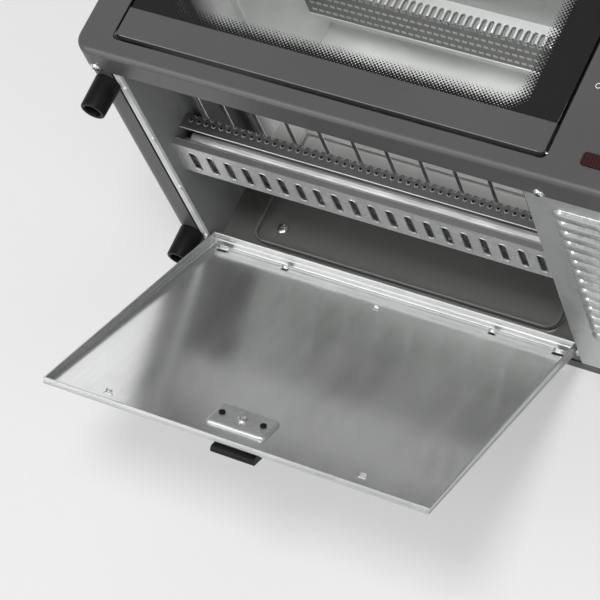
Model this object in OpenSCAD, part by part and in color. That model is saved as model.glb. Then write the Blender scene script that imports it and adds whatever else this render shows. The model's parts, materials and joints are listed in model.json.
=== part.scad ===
// Countertop oven lying on its back with its underside crumb hatch open.
// Inside place(), x runs across from the left side, y up from the underside, z out from the rear face.

/* [Body] */
// Width from the underside opening to the right side, which holds the controls
control_side_w = 105.7; // [100:0.1:125]
// Height of the housing without its feet
body_h = 252; // [240:1:300]
// Depth from the rear face to the bezel face
body_d = 305; // [295:1:340]
// Sheet thickness of the outer skin and the liner
sheet = 1; // [0.6:0.1:1.4]
// Corner radius of the bezel seen from the front
bezel_corner_r = 14; // [10:0.5:20]
// Rounding between the bezel face and its flange
bezel_edge_r = 4.5; // [2:0.5:7]
// Sheet thickness of the bezel, which is also how far the casing sits inside it
bezel_t = 1.2; // [0.8:0.1:1.6]
// Depth of the flange behind the bezel face
bezel_flange = 25; // [20:1:30]
// Depth of the rear cover tray
rear_depth = 11; // [9:0.5:14]
// Width of the casing flange turned in under each side
casing_flange = 23.4; // [18:0.2:25]
// Dark seam between the casing flange and the liner flange
flange_seam = 2; // [1:0.5:3]

/* [Cavity] */
// Left side to the inner face of the left liner wall
cavity_left = 32.3; // [30:0.1:36]
// Width of the opening under the cavity
opening_w = 330; // [310:1:345]
// Underside to the ceiling sheet
ceiling_y = 232; // [215:1:236]
// Height of the shelf rail that holds the rack
rail_y = 50; // [47:1:80]
// Distance from one shelf rail to the next
rail_pitch = 43; // [30:1:50]
// Number of shelf rails on each wall
rail_count = 3; // [1:1:3]
// How far a rail stands out from its wall
rail_out = 6; // [4:0.5:7]

/* [Door] */
// Gap between the bezel opening and the left side
door_recess_left = 27.3; // [26:0.1:30]
// How much wider the bezel opening is than the opening under the cavity
door_recess_over = 20.7; // [18:0.1:24]
// Underside to the lower edge of the opening
door_recess_low = 15.4; // [14:0.1:18]
// Height of the opening in the bezel
door_recess_h = 224; // [200:1:226]
// Thickness of the door
door_t = 14; // [12:0.5:16]
// Gap at each side of the door
door_side_gap = 2; // [1.5:0.1:3]
// Gap under the door, which its lower edge needs to swing
door_low_gap = 4.1; // [4:0.1:6]
// Gap over the door
door_top_gap = 2.4; // [2:0.1:4]
// Height of the painted trim at the lower edge
door_trim_low = 25; // [20:0.5:30]
// Height of the painted trim at the upper edge
door_trim_top = 22; // [18:0.5:30]
// Thickness of the glass
glass_t = 4; // [3:0.5:5]
// Diameter of the handle bar
handle_d = 12; // [10:0.5:16]
// Length of the handle bar
handle_w = 250; // [200:1:300]
// Free space between the door and the handle bar
handle_gap = 24; // [20:1:35]

/* [Crumb hatch] */
// Angle between the open hatch and the closed one
hatch_open = 55.9; // [30:0.1:80]
// Gap between the closed hatch and the bezel flange
hatch_front_gap = 1.45; // [1:0.05:3]
// Gap between the hatch and the wall at each side
hatch_side_gap = 2.9; // [2.6:0.1:5]
// Sheet thickness of the hatch
hatch_t = 0.8; // [0.6:0.1:1.2]
// Height of the rear rim over the outer face
hatch_rim = 11.5; // [9:0.1:13]
// Height of the front rim over the outer face, to which the side rims taper
hatch_front_rim = 6; // [5:0.1:9]
// Hinge axis above the underside
hatch_pivot_y = 2.76; // [2.7:0.01:4]
// Hinge axis in front of the rear face
hatch_pivot_z = 25.75; // [25:0.05:26]
// Diameter of the hinge pins
hatch_pin_d = 3; // [2:0.5:3.2]
// Width of the grip
grip_w = 36; // [28:1:60]

/* [Heaters] */
// Underside to the lower face of the slotted strip
strip_y = 14.5; // [14.2:0.1:18]
// Rear edge of the slotted strip as a share of the depth
strip_z_share = 0.3934; // [0.36:0.0001:0.42]
// Width of the slotted strip
strip_w = 39.4; // [36:0.1:44]
// Number of slots in the strip
slot_count = 20; // [8:1:20]
// Width of a slot
slot_w = 6.6; // [5:0.1:9]
// Length of a slot
slot_l = 25; // [16:0.5:28]
// Diameter of the heater tubes
heater_d = 8; // [6:0.5:9]
// Distance between the holes in the lower guard
guard_hole_pitch = 6.8; // [6:0.1:14]
// Diameter of the holes in the lower guard
guard_hole_d = 3; // [2:0.5:5]
// Distance between the ovals in the upper guard
oval_pitch = 6.4; // [6:0.1:9]
// Width of an oval in the upper guard
oval_w = 3.5; // [3:0.1:4.5]

/* [Louvres] */
// Number of louvres in the bottom panel
louvre_count = 14; // [4:1:14]
// Width of a louvre along the depth
louvre_w = 9; // [7:0.5:10]
// Height of a louvre over the panel
louvre_h = 3.6; // [2.5:0.1:4.5]
// Straight length of a louvre between its rounded ends
louvre_l = 28; // [15:1:30]

/* [Feet] */
// Height of a foot under the casing flange
foot_h = 27.3; // [20:0.1:40]
// Diameter of a foot at the casing
foot_base_d = 21; // [18:0.2:22]
// Diameter of a foot at its tip
foot_tip_d = 20; // [16:0.2:21.4]
// Diameter of the hollow in the tip
foot_bore_d = 13.5; // [10:0.5:14]

/* [Controls] */
// Diameter of the knobs
knob_d = 44; // [30:1:48]
// Height of the knobs
knob_h = 17; // [12:1:24]
// Underside to the middle of the temperature knob
knob_low_y = 103; // [90:1:110]
// Distance between the two knobs
knob_pitch = 86; // [60:1:100]

/* [Hidden] */
$fn = 48;
hull_fn = 32;
over = 2;
fit_gap = 0.3;
run_gap = 0.06;

// Places worked out from the sizes above
wrap_gap = 0.1;
casing_in = bezel_t + wrap_gap;
body_w = cavity_left + opening_w + control_side_w;
door_recess_w = opening_w + door_recess_over;
casing_wall = casing_in + sheet;
casing_r = bezel_corner_r - casing_in;
casing_inner_r = casing_r - sheet;
flange_edge = casing_in + casing_flange;
liner_flange_x = flange_edge + flange_seam;
liner_y = casing_in;
opening_right = cavity_left + opening_w;
panel_return = 1;
wall_right = opening_right + panel_return + 0.2 * sheet;
liner_left = cavity_left - sheet;
liner_right = wall_right + sheet;
back_z = rear_depth + 0.5 * sheet;
liner_z = back_z + sheet;
frame_t = 1.1;
door_back = body_d - door_t;
door_back_gap = 0.6;
frame_front = door_back - door_back_gap;
frame_z = frame_front - frame_t;
flange_z = body_d - bezel_flange;
casing_front = body_d - bezel_edge_r - bezel_t;
wall_top = ceiling_y;

door_recess_right = door_recess_left + door_recess_w;
door_recess_top = door_recess_low + door_recess_h;
door_left = door_recess_left + door_side_gap;
door_right = door_recess_right - door_side_gap - sheet;
door_low = door_recess_low + door_low_gap;
door_top = door_recess_top - door_top_gap;
door_corner_r = 5;
trim_t = 5;
door_skin_z = body_d - trim_t;
door_pivot_y = door_low + 3;
door_pivot_z = body_d - 4.5;
door_pin_d = 3;
door_pin_in = 9;
door_ear_t = 2.2;
door_ear_r = 3.2;
window_border_x = 29;
window_border_low = 1.5;
window_border_top = 8;
glass_gap = 0.3;
glass_low = door_low + door_trim_low + glass_gap;
glass_top = door_top - door_trim_top - glass_gap;
glass_z = door_skin_z;

hatch_left = cavity_left + hatch_side_gap;
hatch_right = opening_right - hatch_side_gap - fit_gap;
hatch_w = hatch_right - hatch_left;
hatch_l = flange_z - hatch_front_gap - hatch_pivot_z;
pivot_n = 2.6;
ear_r = 2.5;
hem_t = 0.7;
hem_h = 3;
hatch_slot_l = 10;
hatch_slot_w = 4;
hatch_slot_in = 7;
hatch_slot_s = 6;
hatch_hole_d = 3.4;
hatch_hole_shares = [[0.216, 0.035], [0.498, 0.094], [0.788, 0.035], [0.15, 0.945], [0.808, 0.935]];
latch_x_share = 0.399;
latch_w = 50;
latch_in = 45.8;
latch_s = hatch_l - latch_in;
latch_l = 28;
latch_up = 3;
latch_slope = 2.4;
grip_x_share = 0.456;
grip_in = 43.8;
grip_s = hatch_l - grip_in;
grip_over = 4;
grip_down = 7.2;
grip_step = 1;
grip_r = 3;
grip_groove_r = 5;
grip_groove_in = 1.2;
stud_d = 5;
stud_up = 1.6;
stud_span = 35;
latch_screw_in = 31.8;
latch_screw_s = hatch_l - latch_screw_in;

strip_z = strip_z_share * body_d;
slot_pitch = opening_w / (slot_count + 1);
slot_r = 2.4;
strip_lip = 6;
guard_z_gap = 2;
guard_lip_gap = 8.7;
guard_low = strip_y + strip_lip + guard_lip_gap;
guard_h = 13.4;
guard_top = guard_low + guard_h;
guard_front = strip_z + strip_w + guard_z_gap;
guard_back = strip_z - guard_z_gap;
guard_rows = 2;
guard_count = floor((opening_w - 2 * guard_hole_pitch) / guard_hole_pitch);
heater_z = strip_z + 0.5 * strip_w;
lower_heater_y = strip_y + strip_lip + 10;
reflector_r = 16.5;
reflector_t = 0.8;
reflector_y = strip_y + sheet + reflector_r + 0.2 * sheet;
bracket_t = 1.2;
bracket_in = 9;
upper_drop = 19;
upper_front = 0.3279 * body_d;
upper_w = 44;
upper_low = ceiling_y - upper_drop;
upper_heater_y = upper_low + 10;
upper_heater_z = upper_front - 0.5 * upper_w;
oval_up = 9;
oval_count = floor((opening_w - 2 * oval_pitch) / oval_pitch);
oval_base = 5;
dash_w = 4;
dash_l = 3;
dash_in = 13;
dash_pitch = 10.5;
dash_rows = 3;
heater_out = 6;
heater_right_out = 14;
heater_hole_d = heater_d + 2 * fit_gap;
terminal_d = 14;
terminal_l = 9;
tip_d = 3;
tip_l = 8;

panel_right = body_w - flange_edge - fit_gap;
panel_rear = 11.5;
panel_front_tuck = 8;
panel_return_h = 10;
louvre_front_in = 24;
louvre_rear_in = 60.0;
louvre_first_z = flange_z - louvre_front_in;
louvre_pitch = (louvre_first_z - panel_rear - louvre_rear_in) / (louvre_count - 1);
louvre_side_in = 27.7;
louvre_x = opening_right + louvre_side_in;
louvre_lip = 1.4;
louvre_arc_r = (louvre_w * louvre_w + louvre_h * louvre_h) / (2 * louvre_h);
dimple_r = 3;
dimple_out = 0.8;
dimple_zs = [0.8 * body_d, 0.315 * body_d];
tab_w = 4;
tab_out = 1.4;
tab_h = 1.8;
tab_shares = [0.852, 0.616, 0.374, 0.118];

rack_side_d = 4;
rack_wire_d = 3;
rack_pitch = 0.0876 * opening_w;
rack_first_x = cavity_left + 0.1685 * opening_w;
rack_wires = 8;
rack_clear = 3.4;
rack_rear_z = 34;
rack_front_in = 21;
rack_front_z = body_d - rack_front_in;
rack_weld = 0.4;
rack_y = rail_y + 3 + 0.5 * rack_side_d + 0.2;
rail_h = 3;
rail_end = 14;

foot_x = 17.6;
foot_front_in = 43;
foot_front_z = body_d - foot_front_in;
foot_rear_z = 33.5;
foot_screw_d = 9;
foot_screw_h = 3;
foot_floor = 9;
foot_screw_hole_d = 4.2;

knob_side_in = 47.5;
knob_x = body_w - knob_side_in;
knob_base_h = 3;
knob_base_over = 1.5;
knob_top_less = 1.6;
knob_grip_w = 9;
knob_grip_h = 8;
knob_gap = 0.5;
shaft_d = 6;
shaft_hole_d = 9;
shaft_in = 10;
control_w = 42;
control_h = 42;
control_l = 30;
lens_side_in = 66;
lens_x = body_w - lens_side_in;
lens_y = 18.4;
lens_w = 44;
lens_h = 11;
lens_up = 1.2;
lens_r = 3;
lamp_d = 6;
lamp_l = 22;

screw_d = 8;
screw_h = 2.4;
screw_slot_w = 1.3;
screw_slot_l = 4.6;
screw_slot_h = 1.2;
bezel_screw_z = flange_z + 3.6;
bezel_screw_left = 15;
bezel_screw_d = 7;
bezel_screw_off = 13.7;
bezel_screw_mid = opening_right + bezel_screw_off;
back_screw_in = 47.7;
back_screw_x = cavity_left + back_screw_in;
back_screw_y = 36;
back_screw_d = 9;

vent_l = 26;
vent_w = 4;
vent_pitch = 11;
vent_count = 10;
side_vent_y = 70;
side_vent_rise = 44;
side_vent_z = 0.295 * body_d;
rear_vent_x = body_w / 2 - vent_pitch * vent_count + vent_pitch / 2 - 60;
rear_vent_y = 58;
cord_side_in = 56;
cord_x = body_w - cord_side_in;
cord_y = 44;
cord_d = 8;
bush_d = 14;
bush_flange_d = 19;
bush_flange_t = 2;
rear_screw_in = 12;
rear_screw_hole_d = 3.2;
rear_screw_depth = 6;
boss_d = 10;

paint = [0.30, 0.30, 0.31];
galvanised = [0.72, 0.73, 0.73];
bright_steel = [0.85, 0.85, 0.86];
black_plastic = [0.04, 0.04, 0.04];

// Moves the corner-based drawing so that the middle of the rear face is the origin
module place() translate([-body_w / 2, -body_h / 2, 0]) children();

// A box given by its two extremes along each axis
module slab(x0, x1, y0, y1, z0, z1) translate([x0, y0, z0]) cube([x1 - x0, y1 - y0, z1 - z0]);

// Rods along each axis, given by their ends
module rod_x(d, x0, x1, y, z) translate([x0, y, z]) rotate([0, 90, 0]) cylinder(d = d, h = x1 - x0);
module rod_y(d, y0, y1, x, z) translate([x, y1, z]) rotate([90, 0, 0]) cylinder(d = d, h = y1 - y0);
module rod_z(d, z0, z1, x, y) translate([x, y, z0]) cylinder(d = d, h = z1 - z0);

// A flat rectangle with round corners
module round_rect(x0, x1, y0, y1, r) {
    translate([x0 + r, y0]) square([x1 - x0 - 2 * r, y1 - y0]);
    translate([x0, y0 + r]) square([x1 - x0, y1 - y0 - 2 * r]);
    for (x = [x0 + r, x1 - r])
        for (y = [y0 + r, y1 - r])
            translate([x, y]) circle(r);
}

// The housing outline, drawn in by an inset
module housing_outline(inset) {
    round_rect(inset, body_w - inset, inset, body_h - inset, bezel_corner_r - inset);
}

// A flat profile in y and z, drawn out along x
module along_x(x0, x1) translate([x0, 0, 0]) rotate([90, 0, 90]) linear_extrude(x1 - x0) children();

// Slot with rounded corners, cut along y
module slot_y(x, z, w, l, r, y0, y1)
    translate([x, y1, z]) rotate([90, 0, 0]) linear_extrude(y1 - y0)
        round_rect(-w / 2, w / 2, -l / 2, l / 2, r);

// Pan head screw with a cross recess, its head pointing along +z from the origin
module pan_screw(d) {
    difference() {
        intersection() {
            cylinder(d = d, h = screw_h);
            translate([0, 0, screw_h - d]) sphere(d);
        }
        for (a = [0, 90])
            rotate(a) translate([-screw_slot_l / 2, -screw_slot_w / 2, screw_h - screw_slot_h])
                cube([screw_slot_l, screw_slot_w, over]);
    }
}

// Painted wrap over the sides and the top, open below between its two flanges
module casing_vents() {
    for (i = [0 : vent_count - 1])
        for (row = [0, 1])
            translate([0, 0, side_vent_z + i * vent_pitch])
                slab(body_w - casing_wall - over, body_w, side_vent_y + row * side_vent_rise,
                    side_vent_y + row * side_vent_rise + vent_l, 0, vent_w);
}

module outer_casing() color(paint) place() difference() {
    translate([0, 0, rear_depth]) linear_extrude(casing_front - rear_depth) difference() {
        housing_outline(casing_in);
        housing_outline(casing_wall);
        translate([flange_edge, 0]) square([body_w - 2 * flange_edge, casing_wall + over]);
    }
    casing_vents();
    for (side = [bezel_screw_left, body_w - bezel_screw_left])
        rod_y(rear_screw_hole_d, 0, casing_wall + over, side, bezel_screw_z);
}

// Tray that closes the back, with stamped vents, corner bosses and the cord hole
module rear_cover() color(paint) place() difference() {
    union() {
        difference() {
            linear_extrude(rear_depth) housing_outline(casing_in);
            translate([0, 0, sheet]) linear_extrude(rear_depth) housing_outline(casing_wall);
        }
        rear_corners() translate([0, 0, sheet]) cylinder(d = boss_d, h = rear_depth - sheet);
    }
    rear_corners() translate([0, 0, -over]) cylinder(d = rear_screw_hole_d, h = rear_screw_depth + over);
    for (i = [0 : 2 * vent_count - 1])
        slab(rear_vent_x + i * vent_pitch, rear_vent_x + i * vent_pitch + vent_w,
            body_h - rear_vent_y, body_h - rear_vent_y + vent_l, -over, sheet + over);
    rod_z(bush_d, -over, sheet + over, cord_x, cord_y);
}

module rear_corners() {
    for (x = [casing_wall + rear_screw_in, body_w - casing_wall - rear_screw_in])
        for (y = [casing_wall + rear_screw_in, body_h - casing_wall - rear_screw_in])
            translate([x, y, 0]) children();
}

// Countersunk flush so that the oven can lie on its rear face
module rear_cover_screws() color(galvanised) place()
    rear_corners() difference() {
        cylinder(d = rear_screw_hole_d, h = rear_screw_depth);
        for (a = [0, 90])
            rotate(a) translate([-rear_screw_hole_d / 4, -screw_slot_w / 4, -over])
                cube([rear_screw_hole_d / 2, screw_slot_w / 2, over + screw_slot_h / 2]);
    }

// Round bush for the mains lead, flush outside and flanged inside
module cord_bush() color(black_plastic) place() difference() {
    union() {
        rod_z(bush_d, 0, sheet, cord_x, cord_y);
        rod_z(bush_flange_d, sheet, sheet + bush_flange_t, cord_x, cord_y);
    }
    rod_z(cord_d, -over, sheet + bush_flange_t + over, cord_x, cord_y);
}

// Block with a rounded front edge, hulled over four turned corner posts
module rounded_block(inset, z0, z1, edge_r) {
    r = bezel_corner_r - inset;
    e = edge_r - inset;
    hull()
        for (x = [bezel_corner_r, body_w - bezel_corner_r])
            for (y = [bezel_corner_r, body_h - bezel_corner_r])
                translate([x, y, 0]) rotate_extrude($fn = hull_fn) {
                    translate([0, z0]) square([r, z1 - z0 - e]);
                    translate([0, z0]) square([r - e, z1 - z0]);
                    translate([r - e, z1 - e]) intersection() {
                        circle(e, $fn = hull_fn);
                        square(e);
                    }
                }
}

// Painted front with its flange, the door recess, the shaft holes and the lens window
module front_bezel() color(paint) place() difference() {
    rounded_block(0, flange_z, body_d, bezel_edge_r);
    rounded_block(bezel_t, flange_z - over, body_d - bezel_t, bezel_edge_r);
    translate([0, 0, frame_z]) linear_extrude(body_d)
        round_rect(door_recess_left, door_recess_right, door_recess_low, door_recess_top, door_corner_r);
    for (i = [0, 1]) rod_z(shaft_hole_d, frame_z, body_d + over, knob_x, knob_low_y + i * knob_pitch);
    translate([0, 0, frame_z]) linear_extrude(body_d)
        round_rect(lens_x, lens_x + lens_w, lens_y, lens_y + lens_h, lens_r);
    for (x = bezel_screw_xs()) rod_y(rear_screw_hole_d, -over, bezel_t + over, x, bezel_screw_z);
}

function bezel_screw_xs() = [bezel_screw_left, bezel_screw_mid, body_w - bezel_screw_left];

module bezel_screws() color(bright_steel) place()
    for (x = bezel_screw_xs()) translate([x, 0, bezel_screw_z]) rotate([90, 0, 0]) pan_screw(bezel_screw_d);

// Inner front plate with the cavity mouth, the hinge ears and the control holes
module front_frame() color(galvanised) place() difference() {
    union() {
        translate([0, 0, frame_z]) linear_extrude(frame_t) housing_outline(casing_wall);
        for (x = [door_recess_left - door_ear_t, door_recess_right]) door_ear(x);
    }
    slab(liner_left + sheet, wall_right, door_recess_low, ceiling_y, frame_z - over, frame_front + over);
    for (i = [0, 1]) rod_z(shaft_hole_d, frame_z - over, frame_front + over, knob_x, knob_low_y + i * knob_pitch);
    rod_z(lamp_d + fit_gap, frame_z - over, frame_front + over, lens_x + lens_w / 2, lens_y + lens_h / 2);
    rod_x(door_pin_d + 2 * run_gap, 0, body_w, door_pivot_y, door_pivot_z);
}

module door_ear(x) {
    rod_x(2 * door_ear_r, x, x + door_ear_t, door_pivot_y, door_pivot_z);
    slab(x, x + door_ear_t, door_pivot_y - door_ear_r, door_pivot_y + door_ear_r, frame_z, door_pivot_z);
}

// Shelf rails pressed into a wall, standing out towards the middle of the cavity
module rails(x0, x1) {
    for (i = [0 : rail_count - 1])
        slab(x0, x1, rail_y + i * rail_pitch, rail_y + i * rail_pitch + rail_h, liner_z + rail_end, frame_z - rail_end);
}

module heater_holes(x0, x1) {
    rod_x(heater_hole_d, x0, x1, lower_heater_y, heater_z);
    rod_x(heater_hole_d, x0, x1, upper_heater_y, upper_heater_z);
}

// Left wall with its bottom flange and the bent tabs that lock it
module cavity_left_wall() color(galvanised) place() difference() {
    union() {
        slab(liner_left, cavity_left, liner_y, wall_top, liner_z, frame_z);
        slab(liner_flange_x, cavity_left, liner_y, liner_y + sheet, liner_z, frame_z);
        rails(cavity_left, cavity_left + rail_out);
        for (z = tab_shares * body_d)
            slab(cavity_left - sheet, cavity_left + tab_out, liner_y - tab_h, liner_y, z - tab_w / 2, z + tab_w / 2);
    }
    heater_holes(liner_left - over, cavity_left + over);
}

module cavity_right_wall() color(galvanised) place() difference() {
    union() {
        slab(wall_right, liner_right, liner_y + sheet, wall_top, liner_z, frame_z);
        rails(wall_right - rail_out, wall_right);
    }
    heater_holes(wall_right - over, liner_right + over);
}

module cavity_ceiling() color(galvanised) place()
    slab(liner_left, liner_right, ceiling_y, ceiling_y + sheet, liner_z, frame_z);

// Back wall with a pressed outline and a short flange at its foot
module cavity_back_wall() color(galvanised) place() {
    press_in = 28;
    press_w = 3.2;
    press_up = 1;
    bead_y = 122;
    press_low = 16;
    press_top = 40;
    foot_flange = 8;
    difference() {
        slab(liner_left, liner_right, liner_y + sheet, ceiling_y + sheet, back_z, liner_z);
        rod_z(rear_screw_hole_d, back_z - over, liner_z + over, back_screw_x, back_screw_y);
    }
    translate([0, 0, liner_z]) linear_extrude(press_up) difference() {
        round_rect(cavity_left + press_in, wall_right - press_in, press_low, ceiling_y - press_top, bezel_corner_r);
        round_rect(cavity_left + press_in + press_w, wall_right - press_in - press_w, press_low + press_w,
            ceiling_y - press_top - press_w, bezel_corner_r - press_w);
    }
    slab(cavity_left + press_in, wall_right - press_in, bead_y, bead_y + press_w, liner_z, liner_z + press_up);
    slab(cavity_left, opening_right, liner_y + sheet, liner_y + 2 * sheet, liner_z, liner_z + foot_flange);
}

module back_wall_screw() color(bright_steel) place()
    translate([back_screw_x, back_screw_y, liner_z]) pan_screw(back_screw_d);

// Pressed louvre: an arc that rises from its front edge to an open rear edge, with turned ends
module louvre_arc() intersection() {
    translate([louvre_arc_r - louvre_h, 0]) difference() {
        circle(louvre_arc_r, $fn = 2 * $fn);
        circle(louvre_arc_r - sheet, $fn = 2 * $fn);
    }
    translate([-louvre_h, 0]) square([louvre_h + sheet, louvre_w]);
}

module louvre() {
    along_x(0, louvre_l) louvre_arc();
    half_turn = 180;
    for (end = [[0, half_turn], [louvre_l, 1.5 * half_turn]])
        translate([end[0], 0, 0]) rotate([-90, 0, 0]) rotate([0, 0, end[1]])
            rotate_extrude(angle = half_turn / 2) intersection() {
                mirror([1, -1]) louvre_arc();
                translate([0, -louvre_h]) square([louvre_w, louvre_h + sheet]);
            }
}

module louvre_hole() {
    reach = louvre_w - louvre_lip;
    intersection() {
        union() {
            slab(0, louvre_l, -over, sheet + over, 0, reach);
            for (x = [0, louvre_l]) rod_y(2 * reach, -over, sheet + over, x, 0);
        }
        slab(-louvre_w, louvre_l + louvre_w, -over, sheet + over, 0, reach);
    }
}

// Bottom panel under the control side, with its louvres and a return along the hatch opening
module bottom_louvre_panel() color(galvanised) place() {
    difference() {
        slab(opening_right, panel_right, liner_y, liner_y + sheet, panel_rear, flange_z + panel_front_tuck);
        for (i = [0 : louvre_count - 1])
            translate([louvre_x, liner_y, louvre_first_z - i * louvre_pitch]) louvre_hole();
        rod_y(rear_screw_hole_d, 0, casing_wall + over, bezel_screw_mid, bezel_screw_z);
    }
    slab(opening_right, opening_right + panel_return, liner_y + sheet, liner_y + panel_return_h, liner_z, frame_z - over);
    for (i = [0 : louvre_count - 1])
        translate([louvre_x, liner_y, louvre_first_z - i * louvre_pitch]) louvre();
    for (z = dimple_zs)
        rod_x(2 * dimple_r, opening_right - dimple_out, opening_right, liner_y + dimple_r + sheet, z);
}

// Slotted strip across the cavity under the lower heater
module slotted_heater_strip() color(galvanised) place() difference() {
    union() {
        slab(cavity_left, wall_right, strip_y, strip_y + sheet, strip_z, strip_z + strip_w);
        for (z = [strip_z, strip_z + strip_w - sheet])
            slab(cavity_left, wall_right, strip_y, strip_y + strip_lip, z, z + sheet);
    }
    for (i = [0 : slot_count - 1])
        slot_y(cavity_left + slot_pitch * (i + 1), strip_z + strip_w / 2, slot_w, slot_l, slot_r,
            strip_y - over, strip_y + sheet + over);
}

// Perforated cover over the lower heater, with a row of holes on each bend
module guard_hole(x, y, z, a) translate([x, y, z]) rotate([a, 0, 0])
    cylinder(d = guard_hole_d, h = guard_hole_d * 2, center = true);

module lower_heater_guard() color(bright_steel) place() difference() {
    slab(cavity_left, wall_right, guard_low, guard_top, guard_back, guard_front);
    slab(0, body_w, guard_low - over, guard_top - sheet, guard_back + sheet, guard_front - sheet);
    for (i = [0 : guard_count - 1]) {
        x = cavity_left + guard_hole_pitch * (i + 1);
        guard_hole(x, guard_low + guard_h * 0.6, guard_front, 0);
        guard_hole(x + guard_hole_pitch / 2, guard_top, guard_front, 45);
        for (row = [1 : guard_rows])
            guard_hole(x, guard_top, guard_front - row * guard_hole_pitch, 90);
    }
}

// Bright trough that throws the heat up, half round, between the strip and the heater
module lower_heater_reflector() color(bright_steel) place()
    along_x(cavity_left + bracket_in + bracket_t, wall_right - bracket_in - bracket_t) intersection() {
        translate([reflector_y, heater_z]) difference() {
            circle(reflector_r);
            circle(reflector_r - reflector_t);
        }
        translate([reflector_y - reflector_r, heater_z - reflector_r])
            square([reflector_r * 0.94, 2 * reflector_r]);
    }

module lower_heater_tube() color(bright_steel) place()
    rod_x(heater_d, liner_left - heater_out, liner_right + heater_right_out, lower_heater_y, heater_z);

module upper_heater_tube() color(bright_steel) place()
    rod_x(heater_d, liner_left - heater_out, liner_right + heater_right_out, upper_heater_y, upper_heater_z);

// Angle brackets that hold a heater at both walls
module heater_bracket(x, foot_x0, foot_x1, y0, y1, heater_y, z) difference() {
    union() {
        slab(x, x + bracket_t, y0, y1, z - 1.5 * heater_d, z + 1.5 * heater_d);
        slab(foot_x0, foot_x1, y0, y0 + bracket_t, z - 1.5 * heater_d, z + 1.5 * heater_d);
    }
    rod_x(heater_d + 2 * run_gap, x - over, x + bracket_t + over, heater_y, z);
}

module lower_heater_brackets() color(galvanised) place() {
    y0 = strip_y + sheet;
    y1 = guard_top - sheet;
    heater_bracket(cavity_left + bracket_in, cavity_left, cavity_left + bracket_in, y0, y1, lower_heater_y, heater_z);
    heater_bracket(wall_right - bracket_in - bracket_t, wall_right - bracket_in, wall_right, y0, y1,
        lower_heater_y, heater_z);
}

module upper_heater_brackets() color(galvanised) place() {
    y0 = upper_low + sheet;
    y1 = ceiling_y;
    heater_bracket(cavity_left + bracket_in, cavity_left, cavity_left + bracket_in, y0, y1, upper_heater_y, upper_heater_z);
    heater_bracket(wall_right - bracket_in - bracket_t, wall_right - bracket_in, wall_right, y0, y1,
        upper_heater_y, upper_heater_z);
}

// Upper guard with ovals that run round its front bend and rows of short slots under it
module upper_heater_guard() color(bright_steel) place() difference() {
    slab(cavity_left, wall_right, upper_low, ceiling_y, upper_front - upper_w, upper_front);
    slab(0, body_w, upper_low + sheet, ceiling_y + over, upper_front - upper_w + sheet, upper_front - sheet);
    for (i = [0 : oval_count - 1]) {
        x = cavity_left + oval_pitch * (i + 1.1);
        slab(x - oval_w / 2, x + oval_w / 2, upper_low - over, upper_low + oval_up, upper_front - oval_base, upper_front + over);
        rod_z(oval_w, upper_front - oval_base, upper_front + over, x, upper_low + oval_up);
        for (row = [0 : dash_rows - 1])
            translate([x - dash_w / 2, upper_low - over, upper_front - dash_in - row * dash_pitch - dash_l])
                cube([dash_w, 2 * over, dash_l]);
    }
}

// Ceramic beads and spade tips on the heater ends, in the space beside the cavity
module heater_terminals() color("ivory") place()
    for (p = [[lower_heater_y, heater_z], [upper_heater_y, upper_heater_z]]) {
        x = liner_right + heater_right_out;
        rod_x(terminal_d, x, x + terminal_l, p[0], p[1]);
        rod_x(tip_d, x + terminal_l, x + terminal_l + tip_l, p[0], p[1]);
        rod_x(terminal_d, liner_left - heater_out - terminal_l, liner_left - heater_out, p[0], p[1]);
    }

// Welded wire shelf: a frame with two cross wires under the long ones
module wire_rack() color(bright_steel) place() {
    x0 = cavity_left + rack_clear;
    x1 = wall_right - rack_clear;
    low = rack_y - rack_wire_d + rack_weld;
    for (x = [x0, x1]) rod_z(rack_side_d, rack_rear_z, rack_front_z, x, rack_y);
    for (z = [rack_rear_z + rack_side_d, rack_front_z - rack_side_d])
        rod_x(rack_side_d, x0, x1, rack_y, z);
    for (i = [-1 : rack_wires])
        rod_z(rack_wire_d, rack_rear_z + rack_side_d, rack_front_z - rack_side_d, rack_first_x + i * rack_pitch, rack_y);
    for (share = [0.2, 0.62])
        rod_x(rack_wire_d, x0 + rail_out, x1 - rail_out, low, rack_rear_z + share * (rack_front_z - rack_rear_z));
}

// Puts a part drawn on the closed hatch onto the open one:
// x across, y from the outer face inwards, z from the rear rim forwards
module on_hatch() place()
    translate([hatch_left, hatch_pivot_y, hatch_pivot_z]) rotate([hatch_open, 0, 0])
        translate([0, -pivot_n, 0]) children();

// Side of the hatch, from a height at the rear rim to a height at the front rim
module hatch_side(x, t, low, rear, front)
    along_x(x, x + t) polygon([[low * rear, 0], [rear, 0], [front, hatch_l], [low * front, hatch_l]]);

// Hemmed pan that closes the bottom of the cavity
module hatch_rims() {
    front_hem = hem_h / 2;
    hem_share = 0.75;
    for (x = [0, hatch_w - hatch_t]) hatch_side(x, hatch_t, 0, hatch_rim, hatch_front_rim);
    for (x = [hatch_t, hatch_w - hatch_t - hem_t]) hatch_side(x, hem_t, hem_share, hatch_rim, hatch_front_rim);
    slab(0, hatch_w, 0, hatch_rim, 0, hatch_t);
    slab(0, hatch_w, 0, hatch_front_rim, hatch_l - hatch_t, hatch_l);
    slab(hatch_t, hatch_w - hatch_t, hatch_rim - hem_h, hatch_rim, hatch_t, hatch_t + hem_t);
    slab(hatch_t, hatch_w - hatch_t, hatch_front_rim - front_hem, hatch_front_rim, hatch_l - hatch_t - hem_t,
        hatch_l - hatch_t);
}

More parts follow.
